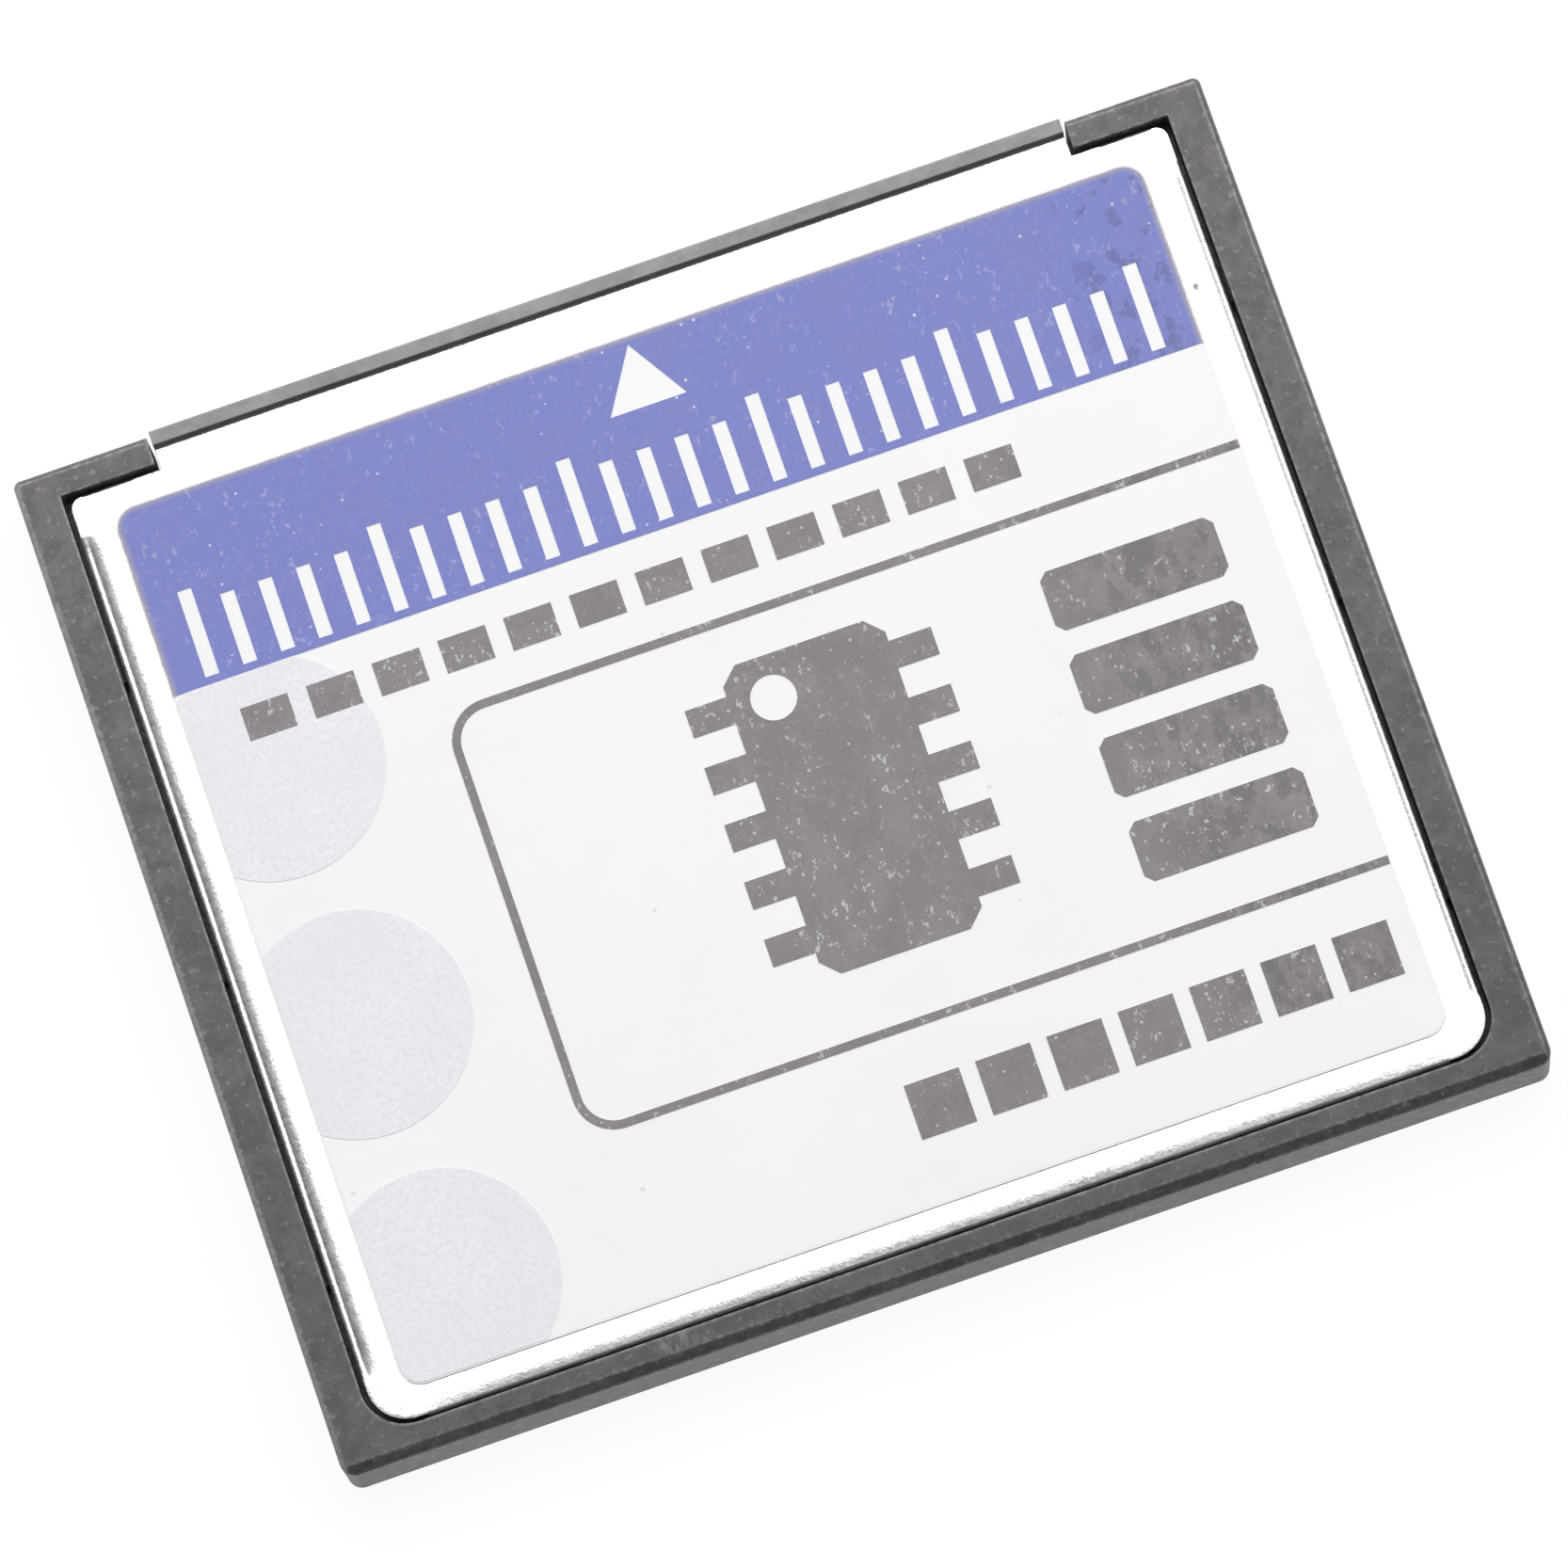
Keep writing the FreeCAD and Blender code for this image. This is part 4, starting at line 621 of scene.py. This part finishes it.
# Rows of the skin from the flat sheet outwards and back along its inner side, as distances and depths, for a
# flange and for a cut edge, and the number of rows before the windows. The pressed line is
# lineDepth * sin(pi * share) deep. A flange bends by radius * (sin(t) - 1) and radius * (1 - cos(t)), and so
# does a cut edge round its burr
def sheetRows(side):
    shape = coverShape
    sheet, bend, burr, flat, rounded = (shape[key] for key in ("sheet", "bend", "burr", "flat", "endRound"))
    depth, (windowTop, windowFoot) = side["depth"], side["window"]
    turn = np.radians(np.linspace(*shape["bendTurn"]))
    line = np.linspace(*shape["line"])
    press = shape["lineDepth"] * np.sin(np.pi * np.linspace(0, 1, line.size))
    top = np.concatenate([[-flat], line, [-bend]])
    # After the bend: the window's top and foot, the flange's rounded end, and the same up its inner side
    flangeAcross = np.concatenate([top, bend * np.sin(turn) - bend,
                                   [0, 0, 0, -rounded, rounded - sheet, -sheet, -sheet, -sheet, -sheet,
                                    -sheet - rounded, -flat]])
    flangeDepth = np.concatenate([[0.0], press, [0.0], bend * (1 - np.cos(turn)),
                                  [windowTop, windowFoot, depth - rounded, depth, depth, depth - rounded,
                                   windowFoot, windowTop, sheet + shape["innerBend"], sheet, sheet]])
    inside = [*shape["cutInside"], -flat]
    edgeRows = flangeAcross.size - top.size - turn.size - len(inside)
    cutAcross = np.concatenate([top, burr * np.sin(turn) - burr, np.zeros(edgeRows), inside])
    cutDepth = np.concatenate([np.zeros(top.size), burr * (1 - np.cos(turn)),
                               np.linspace(burr, sheet, edgeRows + 2)[1:-1], [sheet] * len(inside)])
    return (flangeAcross, flangeDepth), (cutAcross, cutDepth), top.size + turn.size


# Sag of the sheet towards a bent edge: depth * share ^ 2, where the share grows from 0 at the start distance
# to 1 at the end distance, with a level strip between there and the bend
def sagOf(distance, depth, start, end):
    return depth * np.clip((start - distance) / (start - end), 0, 1) ** 2


# Sag at points of the plan: the deeper of the left edge's and the back edge's, each faded out by a smooth
# step at the ends of its flange
def sagOver(plan):
    shape, fade = coverShape, coverShape["sagFade"]
    across, along = plan[..., 0], plan[..., 1]
    sideLow, sideHigh = shape["sideFlange"]
    lengthwise = smoothStep((along - sideLow) / fade) * smoothStep((sideHigh - along) / fade)
    widthwise = smoothStep((shape["backFlange"] - np.abs(across)) / fade)
    return np.maximum(sagOf(shape["half"] + across, *shape["leftSag"]) * lengthwise,
                      sagOf(along - shape["back"], *shape["backSag"]) * widthwise)


# Columns of a side flange that are a window's first edge and have its other edge as the next column
def windowStarts(foot, facing, hangs):
    along, windowHalf = foot[:, 1], coverShape["windowHalf"]
    fromWindow = np.abs(along[:, None] - np.array(coverShape["windows"]))
    atEdge = np.isclose(fromWindow, windowHalf).any(axis=1)
    spans = np.isclose(np.abs(along - np.roll(along, -1)), 2 * windowHalf)
    return np.flatnonzero(hangs & (np.abs(facing[:, 0]) > 0.5) & atEdge & spans)


# Four walls of each window, between the flange's outer rows and its inner rows
def windowWalls(numbers, outer, inner, starts):
    after = starts + 1
    ends = [np.stack([numbers[outer, end], numbers[outer + 1, end], numbers[inner, end],
                      numbers[inner + 1, end]], axis=-1) for end in (starts, after)]
    top = np.stack([numbers[outer, starts], numbers[outer, after], numbers[inner + 1, after],
                    numbers[inner + 1, starts]], axis=-1)
    bottom = np.stack([numbers[outer + 1, starts], numbers[outer + 1, after], numbers[inner, after],
                       numbers[inner, starts]], axis=-1)
    return [*ends, top, bottom]


# Cover: place = foot + facing * (reach + distance), height = face + turn * (depth + sag), with the rows of a
# flange or of a cut edge in each column, and the pressed line only on the right. Rings further in are the
# first or the last row drawn to the middle, and the windows are quads left out
def makeCover(name, side):
    shape, node = coverShape, side["node"]
    low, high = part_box(node)
    face = (high.z if side["turn"] < 0 else low.z) / mm
    flange, cut, rowsBefore = sheetRows(side)
    half = coverHalf()
    mirrored = half[1:-1][::-1] * np.array([-1, 1, -1, 1, 1, 1])
    columns = np.concatenate([half, mirrored])
    foot, facing, reach, hangs = columns[:, :2], columns[:, 2:4], columns[:, 4], columns[:, 5] > 0
    across = np.where(hangs, flange[0][:, None], cut[0][:, None]) + reach
    plan = foot + facing * across[..., None]
    level = np.where(hangs, flange[1][:, None], cut[1][:, None])
    rightward, lineRows = facing[:, 0] > 0.5, slice(1, 1 + shape["line"][2])
    level[lineRows] *= rightward
    middle = np.array([0.0, (shape["back"] + shape["front"]) / 2])
    draws = 1 - (np.array(shape["rings"]) - shape["flat"]) / shape["half"]
    outerRings = middle + (plan[0] - middle) * draws[::-1, None, None]
    innerRings = middle + (plan[-1] - middle) * draws[list(shape["innerRings"]), None, None]
    plan = np.concatenate([outerRings, plan, innerRings])
    level = np.concatenate([np.zeros(outerRings.shape[:2]), level,
                            np.full(innerRings.shape[:2], shape["sheet"])])
    outer = draws.size + rowsBefore
    inner = outer + 6  # the window's foot and top on the flange's inner side
    sagged = sagOver(plan)
    sagged[outer:] = 0
    height = face + side["turn"] * (level + side["sag"] * sagged)
    rows, count = height.shape
    grid = np.concatenate([plan, height[..., None]], axis=-1).reshape(-1, 3)
    poles = np.array([[*middle, face], [*middle, face + side["turn"] * shape["sheet"]]])
    numbers = np.arange(rows * count).reshape(rows, count)
    starts = windowStarts(foot, facing, hangs)
    keep = np.ones((rows - 1, count), bool)
    keep[np.ix_([outer, inner], starts)] = False
    faceSets = [ringQuads(numbers)[keep.reshape(-1)], fanTo(numbers[0], numbers.size),
                fanTo(numbers[-1], numbers.size + 1), *windowWalls(numbers, outer, inner, starts)]
    newPiece(name, np.concatenate([grid, poles]) * mm, faceSets, steelMaterial, [node])


# Strips bent along a path: a bevelled rectangle follows the path's points, upright to its slope, and
# each copy is origin + reach * direction + width * side + height * up, all copies in one array
def bentStrips(name, copies, shape, material, replaced):
    # Each corner's side, its upper or lower half, and the bevel's shift along both
    section = np.array([(1, 1, 0, -1), (1, 1, -1, 0), (-1, 1, 1, 0), (-1, 1, 0, -1),
                        (-1, -1, 0, 1), (-1, -1, 1, 0), (1, -1, -1, 0), (1, -1, 0, 1)], float)
    sideways = section[:, 0] * shape["width"] / 2 + section[:, 2] * shape["bevel"]
    upward = section[:, 1] * shape["thickness"] / 2 + section[:, 3] * shape["bevel"]
    blocks, faceSets, start = [], [], 0
    for path, origins, directions in copies:
        slope = np.gradient(path, axis=0)
        slope /= np.linalg.norm(slope, axis=1, keepdims=True)
        normal = np.stack([-slope[:, 1], slope[:, 0]], axis=-1)
        reach = path[:, None, 0] + normal[:, None, 0] * upward
        height = path[:, None, 1] + normal[:, None, 1] * upward
        sides = np.stack([-directions[:, 1], directions[:, 0]], axis=-1)
        plan = (origins[:, None, None, :2] + reach[None, :, :, None] * directions[:, None, None, :]
                + sideways[None, None, :, None] * sides[:, None, None, :])
        lift = np.broadcast_to(height[None] + origins[:, None, None, 2], plan.shape[:3])
        block = np.concatenate([plan, lift[..., None]], axis=-1)
        numbers = start + np.arange(block[..., 0].size).reshape(block.shape[:3])
        following = np.roll(numbers, -1, axis=2)
        faceSets.append(np.stack([numbers[:, :-1], following[:, :-1], following[:, 1:], numbers[:, 1:]],
                                 axis=-1).reshape(-1, 4))
        faceSets.append(numbers[:, 0, ::-1])
        faceSets.append(numbers[:, -1])
        blocks.append(block.reshape(-1, 3))
        start += numbers.size
    newPiece(name, np.concatenate(blocks), faceSets, material, replaced, outward=True)


contactShape = {"thickness": 0.12 * mm, "width": 0.3 * mm, "bevel": 0.02 * mm, "samples": 64, "perRow": 25,
                "bow": 0.1 * mm, "bowPlace": 0.85 * mm, "bowWidth": 0.45 * mm, "footLength": 0.7 * mm,
                "dropLength": 0.62 * mm}


# Contact: height = beam level + bow * exp(-((reach - place) / width) ^ 2) towards the other row, eased down
# to the foot's level by a smooth step
def makeContacts():
    shape, copies = contactShape, []
    for nodeName, inward in (("upper_contacts", -1.0), ("lower_contacts", 1.0)):
        low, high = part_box(nodeName)
        beam, foot = (high.z, low.z) if inward < 0 else (low.z, high.z)
        beam, foot = beam + inward * shape["thickness"] / 2, foot - inward * shape["thickness"] / 2
        length = high.y - low.y
        reach = np.linspace(0, length, shape["samples"])
        bow = shape["bow"] * np.exp(-((reach - shape["bowPlace"]) / shape["bowWidth"]) ** 2)
        dropStart = length - shape["footLength"] - shape["dropLength"]
        share = smoothStep((reach - dropStart) / shape["dropLength"])
        height = (beam + inward * bow) * (1 - share) + foot * share
        places = np.linspace(low.x + shape["width"] / 2, high.x - shape["width"] / 2, shape["perRow"])
        origins = np.stack([places, np.full_like(places, high.y), np.zeros_like(places)], axis=-1)
        directions = np.tile([0.0, -1.0], (len(places), 1))
        copies.append((np.stack([reach, height], axis=-1), origins, directions))
    bentStrips("contactSprings", copies, shape, plain["goldPlate"],
               ["upper_contacts", "lower_contacts"])


# For each chip its leads' node, and how many leads stand on each side that faces along X and along Y. The
# inset is from a chip's corner to its first lead, where all four sides have leads
leadShape = {
    "thickness": 0.12 * mm, "width": 0.22 * mm, "bevel": 0.02 * mm, "samples": 18, "dropFrom": 0.08,
    "dropShare": 0.62, "inset": 0.75 * mm,
    "chips": {
        "front_flash_chip": ("front_flash_leads", (24, 0)),
        "rear_flash_chip": ("rear_flash_leads", (24, 0)),
        "controller_chip": ("controller_leads", (12, 12)),
        "regulator_chip": ("regulator_leads", (0, 3)),
    },
}


# Lead: flat out of the package, eased down by a smooth step, then flat on the board
def makeLeads():
    shape, copies = leadShape, []
    thickness, width, inset = shape["thickness"], shape["width"], shape["inset"]
    for chipName, (leadName, counts) in shape["chips"].items():
        chipLow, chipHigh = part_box(chipName)
        low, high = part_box(leadName)
        span = (chipLow.x - low.x) if counts[0] else (chipLow.y - low.y)
        reach = np.linspace(0, span, shape["samples"])
        share = smoothStep((reach / span - shape["dropFrom"]) / shape["dropShare"])
        height = (high.z - thickness / 2) * (1 - share) + (low.z + thickness / 2) * share
        path = np.stack([reach, height], axis=-1)
        for axis, count in enumerate(counts):
            if not count:
                continue
            other = 1 - axis
            if all(counts):
                places = np.linspace(chipLow[other] + inset, chipHigh[other] - inset, count)
            else:
                places = np.linspace(low[other] + width / 2, high[other] - width / 2, count)
            for sign, edge in ((1.0, chipHigh[axis]), (-1.0, chipLow[axis])):
                origins = np.zeros((count, 3))
                origins[:, axis] = edge
                origins[:, other] = places
                directions = np.zeros((count, 2))
                directions[:, axis] = sign
                copies.append((path, origins, directions))
    bentStrips("packageLeads", copies, shape, plain["tinPlate"],
               [leadName for leadName, counts in shape["chips"].values()])


makeCover("upperCoverSkin", coverSides["upper"])
makeCover("lowerCoverSkin", coverSides["lower"])
makeLabel()
makeContacts()
makeLeads()

floorLook = {"half": 1.2, "level": -0.01 * mm, "white": 0.93, "shade": 0.09, "bounce": 0.9}


def mixShader(tree, factor, first, second):
    return addNode(tree, "ShaderNodeMixShader", {0: factor, 1: first, 2: second}).outputs[0]


# Floor: bounces light as white paper, shows the camera a nearly even white that keeps a faint shadow, and is
# clear from below so that the underside can be looked at
def makeFloor():
    half, level = floorLook["half"], floorLook["level"]
    corners = np.array([[-half, -half, level], [half, -half, level],
                        [half, half, level], [-half, half, level]])
    mesh = bpy.data.meshes.new("studioFloor")
    mesh.from_pydata(corners.tolist(), [], [(0, 1, 2, 3)])
    material, tree, surface = newMaterial("floorPaper")[:3]
    bounce, shade = (addNode(tree, "ShaderNodeBsdfDiffuse", {"Color": rgba((floorLook[key],) * 3)}).outputs[0]
                     for key in ("bounce", "shade"))
    inputs = {"Color": rgba((1.0, 1.0, 1.0)), "Strength": floorLook["white"]}
    white = addNode(tree, "ShaderNodeEmission", inputs).outputs[0]
    shown = addNode(tree, "ShaderNodeAddShader", {0: shade, 1: white}).outputs[0]
    path = addNode(tree, "ShaderNodeLightPath").outputs
    seen = mathOf(tree, "MAXIMUM", path["Is Camera Ray"], path["Is Glossy Ray"])
    behind = addNode(tree, "ShaderNodeNewGeometry").outputs["Backfacing"]
    clear = addNode(tree, "ShaderNodeBsdfTransparent").outputs[0]
    oneSided = mixShader(tree, behind, mixShader(tree, seen, bounce, shown), clear)
    output = surface.outputs["BSDF"].links[0].to_node
    tree.nodes.remove(surface)
    tree.links.new(oneSided, output.inputs["Surface"])
    mesh.materials.append(material)
    floor = bpy.data.objects.new("studioFloor", mesh)
    scene.collection.objects.link(floor)


skyLook = {"low": 0.08, "top": 0.48, "blend": (0.05, 0.7), "tilt": (0.8, 0.9), "least": 0.1}


# Sky: bright overhead and darker towards the horizon, brighter to the right and beyond the socket edge, and
# white where the camera sees it
def makeSky():
    world = bpy.data.worlds.new("studioSky")
    scene.world = world
    world.use_nodes = True
    tree = world.node_tree
    tree.nodes.clear()
    parts = partsOf(tree, addNode(tree, "ShaderNodeTexCoord").outputs["Generated"])
    rightTilt, frontTilt = skyLook["tilt"]
    tilt = mathOf(tree, "ADD", productOf(tree, parts["X"], rightTilt), productOf(tree, parts["Y"], frontTilt))
    tilt = mathOf(tree, "MAXIMUM", mathOf(tree, "ADD", tilt, 1.0), skyLook["least"])
    glow = productOf(tree, rampOf(tree, parts["Z"], *skyLook["blend"], skyLook["low"], skyLook["top"]), tilt)
    seen = addNode(tree, "ShaderNodeLightPath").outputs["Is Camera Ray"]
    background = addNode(tree, "ShaderNodeBackground", {"Color": rgba((1.0, 1.0, 1.0)),
                                                        "Strength": mathOf(tree, "MAXIMUM", glow, seen)})
    addNode(tree, "ShaderNodeOutputWorld", {"Surface": background.outputs[0]})


lampColour = (1.0, 0.995, 0.99)
lamps = {
    "keyLamp": {"place": (0.05, 0.24, 0.41), "size": (0.36, 0.42), "power": 1.32},
    "rightLamp": {"place": (0.4, 0.06, 0.3), "size": (0.3, 0.3), "power": 0.44},
    "leftLamp": {"place": (-0.46, 0.05, 0.07), "size": (0.3, 0.08), "power": 0.36},
}


# Rectangular lamp that looks at the card's middle
def makeLamp(name, place, size, power):
    lamp = bpy.data.lights.new(name, "AREA")
    lamp.shape = "RECTANGLE"
    lamp.size, lamp.size_y = size
    lamp.energy = power
    lamp.color = lampColour
    holder = bpy.data.objects.new(name, lamp)
    scene.collection.objects.link(holder)
    holder.location = place
    holder.rotation_euler = (-Vector(place)).to_track_quat("-Z", "Y").to_euler()


cameraLook = {"distance": 0.3706, "elevation": 77.52, "azimuth": -3.81, "roll": -15.31,
              "target": (0.143 * mm, 0.051 * mm, 0.0), "pixelsPerMm": 31.197, "pictureWidth": 1666,
              "sensor": 36.0, "clip": (0.01, 10.0)}


# Camera: stands off from the target along its back vector and is rolled about it, as the photograph was taken
def makeCamera():
    elevation, azimuth, roll = (math.radians(cameraLook[name]) for name in ("elevation", "azimuth", "roll"))
    back = Vector((math.sin(azimuth) * math.cos(elevation), -math.cos(azimuth) * math.cos(elevation),
                   math.sin(elevation)))
    right = Vector((math.cos(azimuth), math.sin(azimuth), 0))
    up = back.cross(right)
    rolledRight = right * math.cos(roll) + up * math.sin(roll)
    rolledUp = up * math.cos(roll) - right * math.sin(roll)
    data = bpy.data.cameras.new("photoCamera")
    data.sensor_width = cameraLook["sensor"]
    pixelsPerMetre = cameraLook["pixelsPerMm"] / mm
    data.lens = cameraLook["sensor"] * pixelsPerMetre * cameraLook["distance"] / cameraLook["pictureWidth"]
    data.clip_start, data.clip_end = cameraLook["clip"]
    camera = bpy.data.objects.new("photoCamera", data)
    scene.collection.objects.link(camera)
    place = Vector(cameraLook["target"]) + back * cameraLook["distance"]
    turn = Matrix((rolledRight, rolledUp, back)).transposed().to_4x4()
    camera.matrix_world = Matrix.Translation(place) @ turn
    scene.camera = camera


makeFloor()
makeSky()
for lampName, lampShape in lamps.items():
    makeLamp(lampName, lampShape["place"], lampShape["size"], lampShape["power"])
makeCamera()
scene.view_settings.view_transform = "Standard"
print("stage set")
